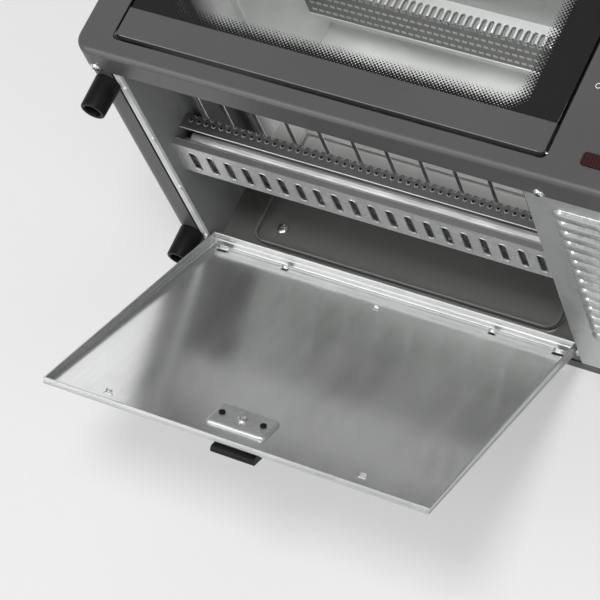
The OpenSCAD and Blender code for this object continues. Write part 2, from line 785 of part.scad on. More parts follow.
module hatch_panel() color(galvanised) on_hatch() difference() {
    union() {
        slab(0, hatch_w, 0, hatch_t, 0, hatch_l);
        hatch_rims();
        for (x = [0, hatch_w - hatch_t]) rod_x(2 * ear_r, x, x + hatch_t, pivot_n, 0);
    }
    pin_reach = hatch_t + ear_r + fit_gap;
    rod_x(hatch_pin_d + 2 * run_gap, -over, pin_reach, pivot_n, 0);
    rod_x(hatch_pin_d + 2 * run_gap, hatch_w - pin_reach, hatch_w + over, pivot_n, 0);
    for (x = [hatch_slot_in, hatch_w - hatch_slot_in - hatch_slot_l])
        slab(x, x + hatch_slot_l, -over, hatch_t + over, hatch_slot_s, hatch_slot_s + hatch_slot_w);
    for (p = hatch_hole_shares) rod_y(hatch_hole_d, -over, hatch_t + over, p[0] * hatch_w, p[1] * hatch_l);
    for (s = [-1, 1])
        rod_y(stud_d - over, -over, hatch_t + over, latch_mid() + s * stud_span / 2, latch_screw_s);
}

function latch_mid() = latch_x_share * hatch_w + latch_w / 2;

// Pressed plate with sloping sides that stiffens the grip's seat
module hatch_latch_plate() color(galvanised) on_hatch() {
    x0 = latch_mid() - latch_w / 2;
    translate([x0, hatch_t, latch_s]) hull() {
        cube([latch_w, hatch_t / 2, latch_l]);
        translate([latch_slope, 0, latch_slope])
            cube([latch_w - 2 * latch_slope, latch_up, latch_l - 2 * latch_slope]);
    }
}

// Plastic finger grip under the front edge, grooved for the fingertips
module hatch_grip() color(black_plastic) on_hatch() difference() {
    x0 = grip_x_share * hatch_w;
    union() {
        along_x(x0, x0 + grip_w)
            round_rect(-grip_down, -grip_step, grip_s, hatch_l + grip_over, grip_r);
        slab(x0 + grip_r, x0 + grip_w - grip_r, -grip_step - grip_r, 0, grip_s + grip_r, hatch_l - fit_gap);
    }
    rod_x(2 * grip_groove_r, x0 + grip_r, x0 + grip_w - grip_r,
        -grip_down - grip_groove_r + grip_groove_in, (grip_s + hatch_l + grip_over) / 2);
}

module hatch_grip_screw() color(bright_steel) on_hatch()
    translate([latch_mid(), hatch_t + latch_up, latch_screw_s]) rotate([-90, 0, 0]) pan_screw(screw_d);

module hatch_grip_studs() color(black_plastic) on_hatch()
    for (s = [-1, 1])
        rod_y(stud_d, hatch_t + latch_up, hatch_t + latch_up + stud_up, latch_mid() + s * stud_span / 2, latch_screw_s);

// Ears fixed to the cavity sides that carry the hatch pins
module hatch_bracket(x0, x1) {
    reach = 2 * ear_r;
    difference() {
        union() {
            rod_x(2 * ear_r, x0, x1, hatch_pivot_y, hatch_pivot_z);
            slab(x0, x1, hatch_pivot_y, hatch_pivot_y + reach, hatch_pivot_z - ear_r, hatch_pivot_z + ear_r);
        }
        rod_x(hatch_pin_d, x0 - over, x1 + over, hatch_pivot_y, hatch_pivot_z);
    }
}

module hatch_hinge_bracket_left() color(galvanised) place()
    hatch_bracket(cavity_left, hatch_left - 2 * fit_gap);

module hatch_hinge_bracket_right() color(galvanised) place()
    hatch_bracket(hatch_right + 2 * fit_gap, opening_right);

module hatch_hinge_pins() color(bright_steel) place() {
    rod_x(hatch_pin_d, cavity_left, hatch_left + hatch_t + ear_r, hatch_pivot_y, hatch_pivot_z);
    rod_x(hatch_pin_d, hatch_right - hatch_t - ear_r, opening_right, hatch_pivot_y, hatch_pivot_z);
}

// Tapered hollow foot, screwed to the underside through the floor of its hollow
module foot(x, z) color(black_plastic) place()
    translate([x, liner_y, z]) rotate([90, 0, 0]) difference() {
        cylinder(d1 = foot_base_d, d2 = foot_tip_d, h = foot_h);
        translate([0, 0, foot_floor]) cylinder(d = foot_bore_d, h = foot_h);
        translate([0, 0, -over]) cylinder(d = foot_screw_hole_d, h = foot_h);
    }

module foot_front_left() foot(foot_x, foot_front_z);
module foot_front_right() foot(body_w - foot_x, foot_front_z);
module foot_rear_left() foot(foot_x, foot_rear_z);
module foot_rear_right() foot(body_w - foot_x, foot_rear_z);

module foot_screws() color(galvanised) place()
    for (x = [foot_x, body_w - foot_x])
        for (z = [foot_rear_z, foot_front_z])
            translate([x, liner_y - foot_floor, z]) rotate([90, 0, 0]) pan_screw(foot_screw_d);

// Steel frame behind the glass, open at the window
module door_inner_frame() color([0.08, 0.08, 0.08]) place() difference() {
    translate([0, 0, door_back]) linear_extrude(door_skin_z - door_back) difference() {
        round_rect(door_left, door_right, door_low, door_top, door_corner_r - door_side_gap);
        round_rect(door_left + window_border_x, door_right - window_border_x, glass_low + window_border_low,
            glass_top - window_border_top, bezel_corner_r);
    }
    for (x = [door_left - over, door_right - door_pin_in])
        rod_x(door_pin_d, x, x + door_pin_in + over, door_pivot_y, door_pivot_z);
}

// Trim with round corners towards the door's edge and square ones towards the glass
module trim_outline(low, high, square_low, square_high) {
    round_rect(door_left, door_right, low, high, door_corner_r - door_side_gap);
    translate([door_left, square_low]) square([door_right - door_left, square_high - square_low]);
}

module door_lower_trim() color(paint) place() difference() {
    translate([0, 0, door_skin_z]) linear_extrude(trim_t)
        trim_outline(door_low, door_low + door_trim_low, door_low + door_trim_low / 2, door_low + door_trim_low);
    rod_x(door_pin_d + 2 * run_gap, door_left - over, door_left + door_pin_in + over, door_pivot_y, door_pivot_z);
    rod_x(door_pin_d + 2 * run_gap, door_right - door_pin_in - over, door_right + over, door_pivot_y, door_pivot_z);
}

module door_upper_trim() color(paint) place()
    translate([0, 0, door_skin_z]) linear_extrude(trim_t)
        trim_outline(door_top - door_trim_top, door_top, door_top - door_trim_top, door_top - door_trim_top / 2);

module door_glass() color([0.6, 0.65, 0.65, 0.4]) place()
    slab(door_left, door_right, glass_low, glass_top, glass_z, glass_z + glass_t);

handle_y = door_top - door_trim_top / 2;
handle_z = body_d + handle_gap + handle_d / 2;
handle_mid = (door_left + door_right) / 2;
post_span_share = 0.84;

// Round bar with domed ends
module door_handle_bar() color(bright_steel) place() {
    rod_x(handle_d, handle_mid - handle_w / 2, handle_mid + handle_w / 2, handle_y, handle_z);
    for (s = [-1, 1]) translate([handle_mid + s * handle_w / 2, handle_y, handle_z]) sphere(d = handle_d);
}

module door_handle_posts() color(bright_steel) place() difference() {
    for (s = [-1, 1])
        translate([handle_mid + s * post_span_share * handle_w / 2, handle_y, body_d])
            cylinder(d1 = handle_d, d2 = handle_d * 0.75, h = handle_gap + handle_d / 2);
    rod_x(handle_d, 0, body_w, handle_y, handle_z);
}

module door_hinge_pins() color(bright_steel) place() {
    rod_x(door_pin_d, door_recess_left - door_ear_t, door_left + door_pin_in - run_gap, door_pivot_y, door_pivot_z);
    rod_x(door_pin_d, door_right - door_pin_in + run_gap, door_recess_right + door_ear_t,
        door_pivot_y, door_pivot_z);
}

// Turned knob with a raised finger bar and a blind shaft bore
module knob(i) color(black_plastic) place()
    translate([knob_x, knob_low_y + i * knob_pitch, body_d + knob_gap]) difference() {
        union() {
            cylinder(d = knob_d + 2 * knob_base_over, h = knob_base_h);
            cylinder(d1 = knob_d, d2 = knob_d - 2 * knob_top_less, h = knob_h - knob_grip_h);
            intersection() {
                cylinder(d1 = knob_d, d2 = knob_d - 2 * knob_top_less, h = knob_h);
                translate([-knob_grip_w / 2, -knob_d / 2, 0]) cube([knob_grip_w, knob_d, knob_h]);
            }
        }
        translate([0, 0, -over]) cylinder(d = shaft_d, h = shaft_in + over);
    }

module knob_shaft(i) color(bright_steel) place()
    rod_z(shaft_d, frame_z + frame_t + fit_gap, body_d + knob_gap + shaft_in, knob_x, knob_low_y + i * knob_pitch);

// Control block behind the front frame with a collar round its shaft
module control_block(i, tone) color(tone) place() {
    y = knob_low_y + i * knob_pitch;
    slab(knob_x - control_w / 2, knob_x + control_w / 2, y - control_h / 2, y + control_h / 2,
        frame_z - control_l, frame_z);
    rod_z(shaft_hole_d - 2 * fit_gap, frame_z, frame_z + frame_t, knob_x, y);
}

module temperature_knob() knob(0);
module timer_knob() knob(1);
module temperature_shaft() knob_shaft(0);
module timer_shaft() knob_shaft(1);
module thermostat_body() control_block(0, [0.75, 0.72, 0.62]);
module timer_body() control_block(1, [0.66, 0.68, 0.7]);

// Glossy lens bar with a flange behind the bezel face
module indicator_lens() color([0.16, 0.02, 0.03]) place() {
    flange = 2;
    translate([0, 0, body_d - bezel_t]) linear_extrude(bezel_t + lens_up)
        round_rect(lens_x + fit_gap, lens_x + lens_w - fit_gap, lens_y + fit_gap, lens_y + lens_h - fit_gap,
            lens_r - fit_gap);
    translate([0, 0, body_d - 2 * bezel_t]) linear_extrude(bezel_t)
        round_rect(lens_x - flange, lens_x + lens_w + flange, lens_y - flange, lens_y + lens_h + flange, lens_r);
}

module indicator_lamp() color([0.9, 0.5, 0.3]) place()
    rod_z(lamp_d, body_d - 2 * bezel_t - lamp_l, body_d - 2 * bezel_t, lens_x + lens_w / 2, lens_y + lens_h / 2);

outer_casing();
rear_cover();
rear_cover_screws();
cord_bush();
front_bezel();
bezel_screws();
front_frame();
cavity_left_wall();
cavity_right_wall();
cavity_ceiling();
cavity_back_wall();
back_wall_screw();
bottom_louvre_panel();
slotted_heater_strip();
lower_heater_guard();
lower_heater_reflector();
lower_heater_tube();
lower_heater_brackets();
upper_heater_guard();
upper_heater_tube();
upper_heater_brackets();
heater_terminals();
wire_rack();
hatch_panel();
hatch_latch_plate();
hatch_grip();
hatch_grip_screw();
hatch_grip_studs();
hatch_hinge_bracket_left();
hatch_hinge_bracket_right();
hatch_hinge_pins();
foot_front_left();
foot_front_right();
foot_rear_left();
foot_rear_right();
foot_screws();
door_inner_frame();
door_lower_trim();
door_upper_trim();
door_glass();
door_handle_bar();
door_handle_posts();
door_hinge_pins();
temperature_knob();
temperature_shaft();
thermostat_body();
timer_knob();
timer_shaft();
timer_body();
indicator_lens();
indicator_lamp();
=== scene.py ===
"""Countertop oven on its back with the crumb hatch open: surfaces, finishes, light and camera.

Lengths in the shape functions are millimetres from the housing's left, bottom, rear corner,
and to_row turns them into metres in the row's frame.
"""
import json
import math

import bmesh
import bpy
import numpy as np
from mathutils import Matrix


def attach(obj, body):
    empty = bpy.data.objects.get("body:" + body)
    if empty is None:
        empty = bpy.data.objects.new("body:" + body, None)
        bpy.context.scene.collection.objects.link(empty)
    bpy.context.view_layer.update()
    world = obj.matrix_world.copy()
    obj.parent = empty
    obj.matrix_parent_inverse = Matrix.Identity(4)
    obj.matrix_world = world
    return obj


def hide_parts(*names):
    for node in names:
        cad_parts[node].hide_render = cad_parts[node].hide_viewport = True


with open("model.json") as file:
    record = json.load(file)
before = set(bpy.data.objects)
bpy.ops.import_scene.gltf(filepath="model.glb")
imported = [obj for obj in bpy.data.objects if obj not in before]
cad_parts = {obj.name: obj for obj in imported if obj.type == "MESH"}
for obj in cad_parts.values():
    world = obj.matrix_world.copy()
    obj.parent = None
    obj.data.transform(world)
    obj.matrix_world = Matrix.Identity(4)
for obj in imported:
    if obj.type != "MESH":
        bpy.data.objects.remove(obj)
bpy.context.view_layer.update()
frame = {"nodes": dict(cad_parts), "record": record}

NODES = frame["nodes"]
BODIES = frame["record"]["behaviour"]["bodies"]
BODY_OF = {node: body for body, nodes in BODIES.items() for node in nodes}
SLOT_OF = {part["node"]: part["material_slot"] for part in frame["record"]["subparts"]}
COLLECTION = bpy.context.scene.collection

HOUSING_W, HOUSING_H, HOUSING_D = 468.0, 252.0, 305.0
UNDERSIDE_Y, FLANGE_TOP = 1.3, 4.0                     # the louvred panel's face, and the cavity's flange
FOOT_OFF_SIDE, FRONT_FOOT_Z, REAR_FOOT_Z = 17.6, 262.0, 33.5
BEZEL_SCREWS_X, BEZEL_SCREWS_Z = (15.0, 376.0, 453.0), 283.6
KNOB_X, KNOB_BASE_Z = 420.5, HOUSING_D + 0.5
KNOBS_Y = {"temperature": 103.0, "timer": 189.0}
KNOB_SEAT, KNOB_CROWN, KNOB_REACH = 8.2, 17.0, 20.2    # a knob's bar: its foot, its top, its half length
KNOB_SWEEP = {"temperature": 270.0, "timer": 300.0}
TROUGH_MIDDLE, TROUGH_INSIDE = (32.2, 139.69), 16.1    # the reflector's middle line and inner radius
STRIP_LEFT, STRIP_LENGTH, STRIP_SLOTS = 32.3, 330.0, 20
UPPER_GUARD_BASE = 213.0
OVAL_START, OVAL_PITCH, OVAL_COUNT = 39.34, 6.4, 49
HOLE_START, SCALLOP_START, HOLE_PITCH, HOLE_COUNT = 39.1, 42.5, 6.8, 46
LOUVRE_LEFT, LOUVRE_START, LOUVRE_PITCH, LOUVRE_COUNT = 390.0, 256.0, 14.1923, 14

HATCH_TURN = math.radians(55.9)
HATCH_PIVOT = (2.76, 25.75)
HATCH_PIVOT_OFF_FACE = 2.6
HATCH_LEFT, HATCH_WIDTH, HATCH_LENGTH = 35.2, 323.9, 252.8
HATCH_SHEET, HATCH_BEND = 0.8, 1.5
TAB_PLACES = [(share_x * HATCH_WIDTH, max(share_z * HATCH_LENGTH, 7.0)) for share_x, share_z in
              ((0.216, 0.03), (0.498, 0.094), (0.788, 0.03), (0.15, 0.945), (0.808, 0.935))]


# Places and meshes

def to_row(points):
    """Millimetres from the housing's corner to metres in the row's frame."""
    return (np.asarray(points, float) - [HOUSING_W / 2, HOUSING_H / 2, 0.0]) / 1000.0


def on_hatch(points):
    """Turns hatch points (x across, y from the outer face inwards, z from the rear rim forwards)
    by the opening angle about the pivot line, then shifts them to the housing's corner frame."""
    p = np.asarray(points, float)
    y, z = p[..., 1] - HATCH_PIVOT_OFF_FACE, p[..., 2]
    c, s = math.cos(HATCH_TURN), math.sin(HATCH_TURN)
    return np.stack([p[..., 0] + HATCH_LEFT, HATCH_PIVOT[0] + y * c - z * s, HATCH_PIVOT[1] + y * s + z * c], -1)


def add_mesh(name, points, faces, smooth_angle=40.0):
    """A mesh object from points in metres and a list of faces, smooth below the given angle."""
    mesh = bpy.data.meshes.new(name)
    mesh.from_pydata(np.asarray(points).reshape(-1, 3).tolist(), [], [list(map(int, f)) for f in faces])
    mesh.update()
    obj = bpy.data.objects.new(name, mesh)
    COLLECTION.objects.link(obj)
    shade(obj, smooth_angle)
    return obj


def shade(obj, smooth_angle):
    """Smooth faces with hard edges where the surface turns by more than the angle."""
    mesh = obj.data
    mesh.polygons.foreach_set("use_smooth", np.ones(len(mesh.polygons), bool))
    mesh.set_sharp_from_angle(angle=math.radians(smooth_angle))


def outwards(obj):
    """Merges doubles and points every face outwards."""
    mesh = bmesh.new()
    mesh.from_mesh(obj.data)
    bmesh.ops.remove_doubles(mesh, verts=mesh.verts, dist=1e-6)
    bmesh.ops.recalc_face_normals(mesh, faces=mesh.faces)
    mesh.to_mesh(obj.data)
    mesh.free()
    return obj


def grid_faces(rows, columns, wrap_rows=False, wrap_columns=False):
    """Quads of a grid of points, counted row by row."""
    i = np.arange(rows if wrap_rows else rows - 1)[:, None]
    j = np.arange(columns if wrap_columns else columns - 1)[None, :]
    a, b = i * columns + j, i * columns + (j + 1) % columns
    c = ((i + 1) % rows) * columns + (j + 1) % columns
    d = ((i + 1) % rows) * columns + j
    return np.stack([a, b, c, d], -1).reshape(-1, 4).tolist()


BOX_FACES = grid_faces(2, 4, wrap_columns=True) + [[4, 5, 6, 7], [3, 2, 1, 0]]


def join_shells(shells):
    """Several (points, faces) shells as one."""
    points, faces, start = [], [], 0
    for shell_points, shell_faces in shells:
        flat = np.asarray(shell_points).reshape(-1, 3)
        points.append(flat)
        faces += [[index + start for index in face] for face in shell_faces]
        start += len(flat)
    return np.concatenate(points), faces


def turned_shell(profile, steps):
    """A profile of (radius, height) turned about +z: point = (r cos a, r sin a, h). Ends that
    meet the axis close by themselves because their ring shrinks to one place."""
    profile = np.asarray(profile, float)
    a = np.linspace(0, 2 * np.pi, steps, endpoint=False)
    ring = np.stack([np.cos(a), np.sin(a)], -1)
    heights = np.repeat(profile[:, 1:], steps, 1)[..., None]
    points = np.concatenate([profile[:, None, :1] * ring[None], heights], -1)
    return points, grid_faces(len(profile), steps, wrap_columns=True)


def fillet(corner, radius, from_angle, to_angle, steps):
    """Points on an arc about a corner's centre, from one angle to the other in degrees."""
    a = np.radians(np.linspace(from_angle, to_angle, steps))
    return [(corner[0] + radius * math.cos(t), corner[1] + radius * math.sin(t)) for t in a]


def round_rectangle(left, right, low, high, radius, steps):
    """The outline of a rectangle with round corners, anticlockwise from its right side."""
    outline = []
    for centre, start in (((right - radius, high - radius), 0), ((left + radius, high - radius), 90),
                          ((left + radius, low + radius), 180), ((right - radius, low + radius), 270)):
        outline += fillet(centre, radius, start, start + 90, steps)
    return outline


def swept_tube(path, radius, closed, sides=6):
    """A round tube along a path: each point's ring stands across the path's direction, carried
    along with no twist from the last one."""
    path = np.asarray(path, float)
    step = (np.roll(path, -1, 0) - np.roll(path, 1, 0)) if closed else np.gradient(path, axis=0)
    along = step / np.linalg.norm(step, axis=1)[:, None]
    side = np.cross(along[0], [0.0, 0.0, 1.0])
    if np.linalg.norm(side) < 1e-6:
        side = np.array([1.0, 0.0, 0.0])
    rings = []
    a = np.linspace(0, 2 * np.pi, sides, endpoint=False)
    for centre, direction in zip(path, along):
        side = side - direction * side.dot(direction)
        side = side / np.linalg.norm(side)
        up = np.cross(direction, side)
        rings.append(centre + radius * (np.cos(a)[:, None] * side + np.sin(a)[:, None] * up))
    return np.array(rings), grid_faces(len(path), sides, wrap_rows=closed, wrap_columns=True)


# Finishes

def toned(colour, share):
    """The same colour, darker or lighter by a share."""
    return tuple(c * share for c in colour)


def row_height(y):
    """A height in millimetres from the housing's corner, in metres in the row's frame."""
    return (y - HOUSING_H / 2) / 1000


class Finish:
    """A procedural material with short helpers for its nodes."""

    def __init__(self, name):
        self.material = bpy.data.materials.new(name)
        self.material.use_nodes = True
        self.tree = self.material.node_tree
        self.shader = self.tree.nodes["Principled BSDF"]
        self.place = self.add("ShaderNodeTexCoord").outputs["Object"]

    def add(self, kind, **settings):
        node = self.tree.nodes.new(kind)
        for key, value in settings.items():
            setattr(node, key, value)
        return node

    def link(self, source, target):
        self.tree.links.new(source, target)

    def give(self, socket, value):
        """Links a socket to another, or gives it a plain colour or number."""
        if hasattr(value, "links"):
            self.link(value, socket)
        else:
            socket.default_value = (*value, 1) if isinstance(value, tuple) else value

    def stretched(self, scale, shift=(0, 0, 0)):
        """Object coordinates in repeats per metre, alike along each axis where the scale is one
        number, then shifted."""
        node = self.add("ShaderNodeMapping")
        node.inputs["Scale"].default_value = scale if isinstance(scale, tuple) else (scale,) * 3
        node.inputs["Location"].default_value = shift
        self.link(self.place, node.inputs["Vector"])
        return node.outputs["Vector"]

    def noise(self, scale, detail=3.0, roughness=0.5, shift=(0, 0, 0)):
        """Soft noise whose cells are 1/scale metres."""
        node = self.add("ShaderNodeTexNoise")
        node.inputs["Scale"].default_value = 1.0
        node.inputs["Detail"].default_value = detail
        node.inputs["Roughness"].default_value = roughness
        self.link(self.stretched(scale, shift), node.inputs["Vector"])
        return node.outputs["Fac"]

    def cells(self, scale):
        """Random grey per crystal cell, as on zinc."""
        node = self.add("ShaderNodeTexVoronoi")
        node.inputs["Scale"].default_value = 1.0
        self.link(self.stretched(scale), node.inputs["Vector"])
        grey = self.add("ShaderNodeSeparateColor")
        self.link(node.outputs["Color"], grey.inputs["Color"])
        return grey.outputs["Red"]

    def ramp(self, value, stops):
        """Colours or greys at places from 0 to 1."""
        node = self.add("ShaderNodeValToRGB")
        ramp = node.color_ramp
        while len(ramp.elements) < len(stops):
            ramp.elements.new(0.5)
        for element, (position, colour) in zip(ramp.elements, stops):
            element.position = position
            element.color = (colour,) * 3 + (1,) if isinstance(colour, float) else (*colour, 1)
        self.link(value, node.inputs["Fac"])
        return node.outputs["Color"]

    def between(self, noise, low, high):
        """From low to high over the middle of a noise, where nearly all of it lies."""
        return self.ramp(noise, [(0.3, low), (0.7, high)])

    def mix(self, share, first, second):
        """Mixes two colours by a share, each a socket or a plain value."""
        node = self.add("ShaderNodeMix", data_type="RGBA")
        for index, value in ((0, share), (6, first), (7, second)):
            self.give(node.inputs[index], value)
        return node.outputs[2]

    def math(self, operation, *values):
        """One step of arithmetic on one to three sockets or numbers."""
        node = self.add("ShaderNodeMath", operation=operation)
        for socket, value in zip(node.inputs, values):
            self.give(socket, value)
        return node.outputs[0]

    def distance(self, across, up):
        """Length of the diagonal of two offsets: the root of the sum of their squares."""
        return self.math("SQRT", self.math("ADD", *(self.math("MULTIPLY", off, off) for off in (across, up))))

    def set(self, **values):
        """Sets or links sockets of the shader, named with _ for a space."""
        for key, value in values.items():
            self.give(self.shader.inputs[key.replace("_", " ")], value)
        return self

    def bump(self, height, strength, distance):
        """Raises the surface by a height field, in metres."""
        node = self.add("ShaderNodeBump")
        node.inputs["Strength"].default_value = strength
        node.inputs["Distance"].default_value = distance
        self.link(height, node.inputs["Height"])
        self.link(node.outputs["Normal"], self.shader.inputs["Normal"])
        return self

    def axes(self):
        """The three Object coordinates, in metres."""
        node = self.add("ShaderNodeSeparateXYZ")
        self.link(self.place, node.inputs["Vector"])
        return node.outputs


def baked_paint(name, colour, gloss):
    """Baked grey enamel: faint cloudiness, fine orange peel and dust specks."""
    f = Finish(name)
    clouds = f.noise(9, 4)
    specks = f.ramp(f.noise(900, 1), [(0.62, 0.0), (0.72, 1.0)])
    f.set(Base_Color=f.mix(f.math("MULTIPLY", specks, 0.10),
                           f.between(clouds, toned(colour, 0.93), toned(colour, 1.06)), toned(colour, 1.9)),
          Roughness=f.between(clouds, gloss, gloss + 0.07))
    return f.bump(f.noise(420, 2), 0.10, 0.0002).material


def zinc_sheet(name, colour, rough, spangle, contrast, streak=60, shade_beyond=None):
    """Zinc-coated sheet: crystal cells that differ a little in grey and gloss, rolling streaks
    and light stains. A face beyond a depth may be darkened with painted shade."""
    f = Finish(name)
    cells, grain = f.cells(spangle), f.noise(streak)
    low, high = toned(colour, 1 - contrast), toned(colour, 1 + contrast)
    base = f.mix(0.35, f.ramp(cells, [(0.0, low), (1.0, high)]), f.between(grain, low, high))
    stain = f.ramp(f.noise(22, 5, 0.6), [(0.55, 0.0), (0.75, 1.0)])
    base = f.mix(f.math("MULTIPLY", stain, 0.18), base, toned(colour, 0.72))
    # painted shade: faces beyond the given depth take a darker grey
    if shade_beyond:
        base = f.mix(f.math("GREATER_THAN", f.axes()[2], shade_beyond / 1000), base, toned(colour, 0.42))
    f.set(Base_Color=base, Metallic=0.82, Roughness=f.ramp(cells, [(0.0, rough - 0.05), (1.0, rough + 0.06)]))
    return f.bump(f.math("MULTIPLY", grain, 0.6), 0.10, 0.0004).material


def cavity_sheet(name, colour, rough, metal, foot=None, shade_below=None, fade=None, shade_beyond=None,
                 painted_shade=(0.115, 0.114, 0.110)):
    """The cavity's coated sheet, cloudy from heat. The flange that lies in the underside may keep
    the sheet's lighter grey. A wall may be darkened by painted shade that deepens up to a height
    and fades out above it, and the ceiling by painted shade beyond a depth."""
    f = Finish(name)
    grain = f.noise(70, 4)
    base = f.between(f.noise(13, 2), toned(colour, 0.88), toned(colour, 1.12))
    height = f.math("MULTIPLY_ADD", f.axes()[1], 1000.0, HOUSING_H / 2)
    # painted shade: darker with height up to shade_below, fading out over the given fade above it
    if shade_below:
        share = f.ramp(f.math("DIVIDE", f.math("SUBTRACT", height, shade_below), fade), [(0.0, 1.0), (1.0, 0.0)])
        deeper_shade = f.ramp(f.math("DIVIDE", height, shade_below),
                        [(0.15, toned(painted_shade, 1.1)), (0.9, toned(painted_shade, 0.55))])
        base = f.mix(share, base, deeper_shade)
    # painted shade on the ceiling beyond the given depth
    if shade_beyond:
        base = f.mix(f.math("GREATER_THAN", f.axes()[2], shade_beyond / 1000), base, painted_shade)
    # the flange below FLANGE_TOP keeps the sheet's lighter grey, free of the painted shade above it
    if foot:
        flange_grey = f.between(grain, toned(foot, 0.9), toned(foot, 1.1))
        base = f.mix(f.math("LESS_THAN", height, FLANGE_TOP), base, flange_grey)
    f.set(Base_Color=base, Metallic=metal, Roughness=f.between(grain, rough - 0.04, rough + 0.06))
    return f.bump(f.math("ADD", f.math("MULTIPLY", grain, 0.3), f.noise(14, 1)), 0.22, 0.0010).material


def rolled_hatch_sheet(name, colour, rough):
    """The hatch's sheet: soft bands of light and dark that run from hinge to front, where the
    rolls left the sheet slightly wavy, with fine zinc grain and a few smudges. The bands are
    noise that changes nearly along the row's x alone, which the hatch's turn leaves as it is."""
    f = Finish(name)
    bands = f.noise((26, 1.6, 1.1), 2, shift=(2.13, 0, 0))
    fine, grain = f.noise((240, 10, 7)), f.noise(600, 2)
    low, high = toned(colour, 0.90), toned(colour, 1.09)
    base = f.mix(0.3, f.between(bands, low, high), f.between(fine, low, high))
    smudge = f.ramp(f.noise(16, 5, 0.6), [(0.56, 0.0), (0.78, 1.0)])
    f.set(Base_Color=f.mix(f.math("MULTIPLY", smudge, 0.22), base, toned(colour, 0.66)), Metallic=0.85,
          Roughness=f.mix(0.5, f.between(bands, rough - 0.05, rough + 0.07),
                          f.between(grain, rough - 0.03, rough + 0.05)))
    return f.bump(bands, 0.085, 0.0016).material


def bright_sheet(name, colour, rough):
    """Aluminised sheet or polished steel with fine drawn lines along its length."""
    f = Finish(name)
    lines = f.noise((6, 900, 900))
    heated = (colour[0] * 0.95, colour[1] * 0.93, colour[2] * 0.90)
    f.set(Base_Color=f.ramp(f.noise((14, 30, 30)), [(0.35, colour), (0.7, heated)]), Metallic=1.0,
          Roughness=f.between(lines, rough, rough + 0.1))
    return f.bump(lines, 0.12, 0.0002).material


def upper_guard_sheet(name, colour, shaded_base_colour, rough):
    """The upper heater's guard: light, with a dark grey base, which is painted shade."""
    f = Finish(name)
    in_shaded_base = f.math("LESS_THAN", f.axes()[1], row_height(UPPER_GUARD_BASE + 0.6))
    f.set(Base_Color=f.mix(in_shaded_base, colour, shaded_base_colour), Metallic=0.35,
          Roughness=f.between(f.noise(60), rough, rough + 0.08))
    return f.material


def trough_sheet(name, colour, rough):
    """The reflector: bright, but with painted shade where its outside faces the slots, which is
    below 20 mm and further from the trough's middle line than its inner radius."""
    f = Finish(name)
    _, y, z = f.axes()
    middle_y, middle_z = TROUGH_MIDDLE
    away = f.distance(f.math("SUBTRACT", y, row_height(middle_y)), f.math("SUBTRACT", z, middle_z / 1000))
    outside = f.math("MULTIPLY", f.math("GREATER_THAN", away, TROUGH_INSIDE / 1000),
                     f.math("LESS_THAN", y, row_height(20.0)))
    lines = f.noise((6, 900, 900))
    tarnish = f.ramp(f.noise((14, 90, 90), 4, 0.6), [(0.40, colour), (0.62, toned(colour, 0.62))])
    # painted shade: near black and less metallic on the outside that faces the slots
    f.set(Base_Color=f.mix(outside, tarnish, (0.05, 0.05, 0.048)),
          Metallic=f.math("SUBTRACT", 1.0, f.math("MULTIPLY", outside, 0.6)),
          Roughness=f.between(lines, rough, rough + 0.1))
    return f.bump(lines, 0.12, 0.0002).material


def chrome_plate(name, colour, rough):
    """Plated steel with faint wipe marks in its gloss."""
    f = Finish(name)
    marks = f.noise((40, 200, 40), 4)
    f.set(Base_Color=f.ramp(marks, [(0.3, colour), (0.8, toned(colour, 0.9))]), Metallic=1.0,
          Roughness=f.ramp(marks, [(0.3, rough), (0.75, rough + 0.08)]))
    return f.material


def moulded_plastic(name, colour, rough):
    """Spark-textured moulded plastic, a little lighter where it is handled."""
    f = Finish(name)
    wear = f.noise(35, 4)
    worn = tuple(c * 1.5 + 0.004 for c in colour)
    f.set(Base_Color=f.ramp(wear, [(0.35, colour), (0.75, worn)]),
          Roughness=f.between(wear, rough, rough + 0.12), Specular_IOR_Level=0.14)
    return f.bump(f.noise(1500, 2), 0.12, 0.0001).material


def printed_glass():
    """Oven glass: a black printed border, then a diagonal lattice of print dots that shrink over
    a fade, then the clear window, all on the front face. Depth is the distance inside a
    rectangle with round corners, and a place is black where it is nearer to its dot's centre
    than the dot's radius, which is the widest radius times what is left of the fade to the
    power 0.6."""
    f = Finish("door_glass_print")
    left, right, low, top, corner = 57.0, 350.0, 46.3, 208.0, 22.0
    fade, pitch, widest, clearness = 0.0125, 0.0031, 0.61, 0.965
    x, y, z = f.axes()
    half = ((right - left) / 2000, (top - low) / 2000)
    centre = (((left + right) / 2 - HOUSING_W / 2) / 1000, row_height((low + top) / 2))
    reach = [f.math("SUBTRACT", f.math("ABSOLUTE", f.math("SUBTRACT", axis, middle)), size - corner / 1000)
             for axis, middle, size in zip((x, y), centre, half)]
    beyond = f.distance(*(f.math("MAXIMUM", value, 0.0) for value in reach))
    within = f.math("MINIMUM", f.math("MAXIMUM", *reach), 0.0)
    depth = f.math("SUBTRACT", corner / 1000, f.math("ADD", beyond, within))
    lattice = [f.math("DIVIDE", f.math(how, x, y), pitch) for how in ("ADD", "SUBTRACT")]
    off = f.distance(*(f.math("SUBTRACT", f.math("FRACT", value), 0.5) for value in lattice))
    left_over = f.math("MAXIMUM", f.math("SUBTRACT", 1.0, f.math("DIVIDE", depth, fade)), 0.0)
    radius = f.math("MULTIPLY", f.math("POWER", left_over, 0.6), widest)
    behind_print = f.math("LESS_THAN", z, (HOUSING_D - 1.5) / 1000)
    seen_through = f.math("MAXIMUM", f.math("GREATER_THAN", off, radius), behind_print)
    smear = f.noise((18, 60, 18), 4)
    f.set(Base_Color=f.mix(seen_through, (0.0085, 0.0085, 0.009), (0.10, 0.105, 0.105)),
          Roughness=f.ramp(smear, [(0.3, 0.05), (0.8, 0.13)]), IOR=1.45, Specular_IOR_Level=0.35,
          Alpha=f.math("SUBTRACT", 1.0, f.math("MULTIPLY", seen_through, clearness)))
    return f.material


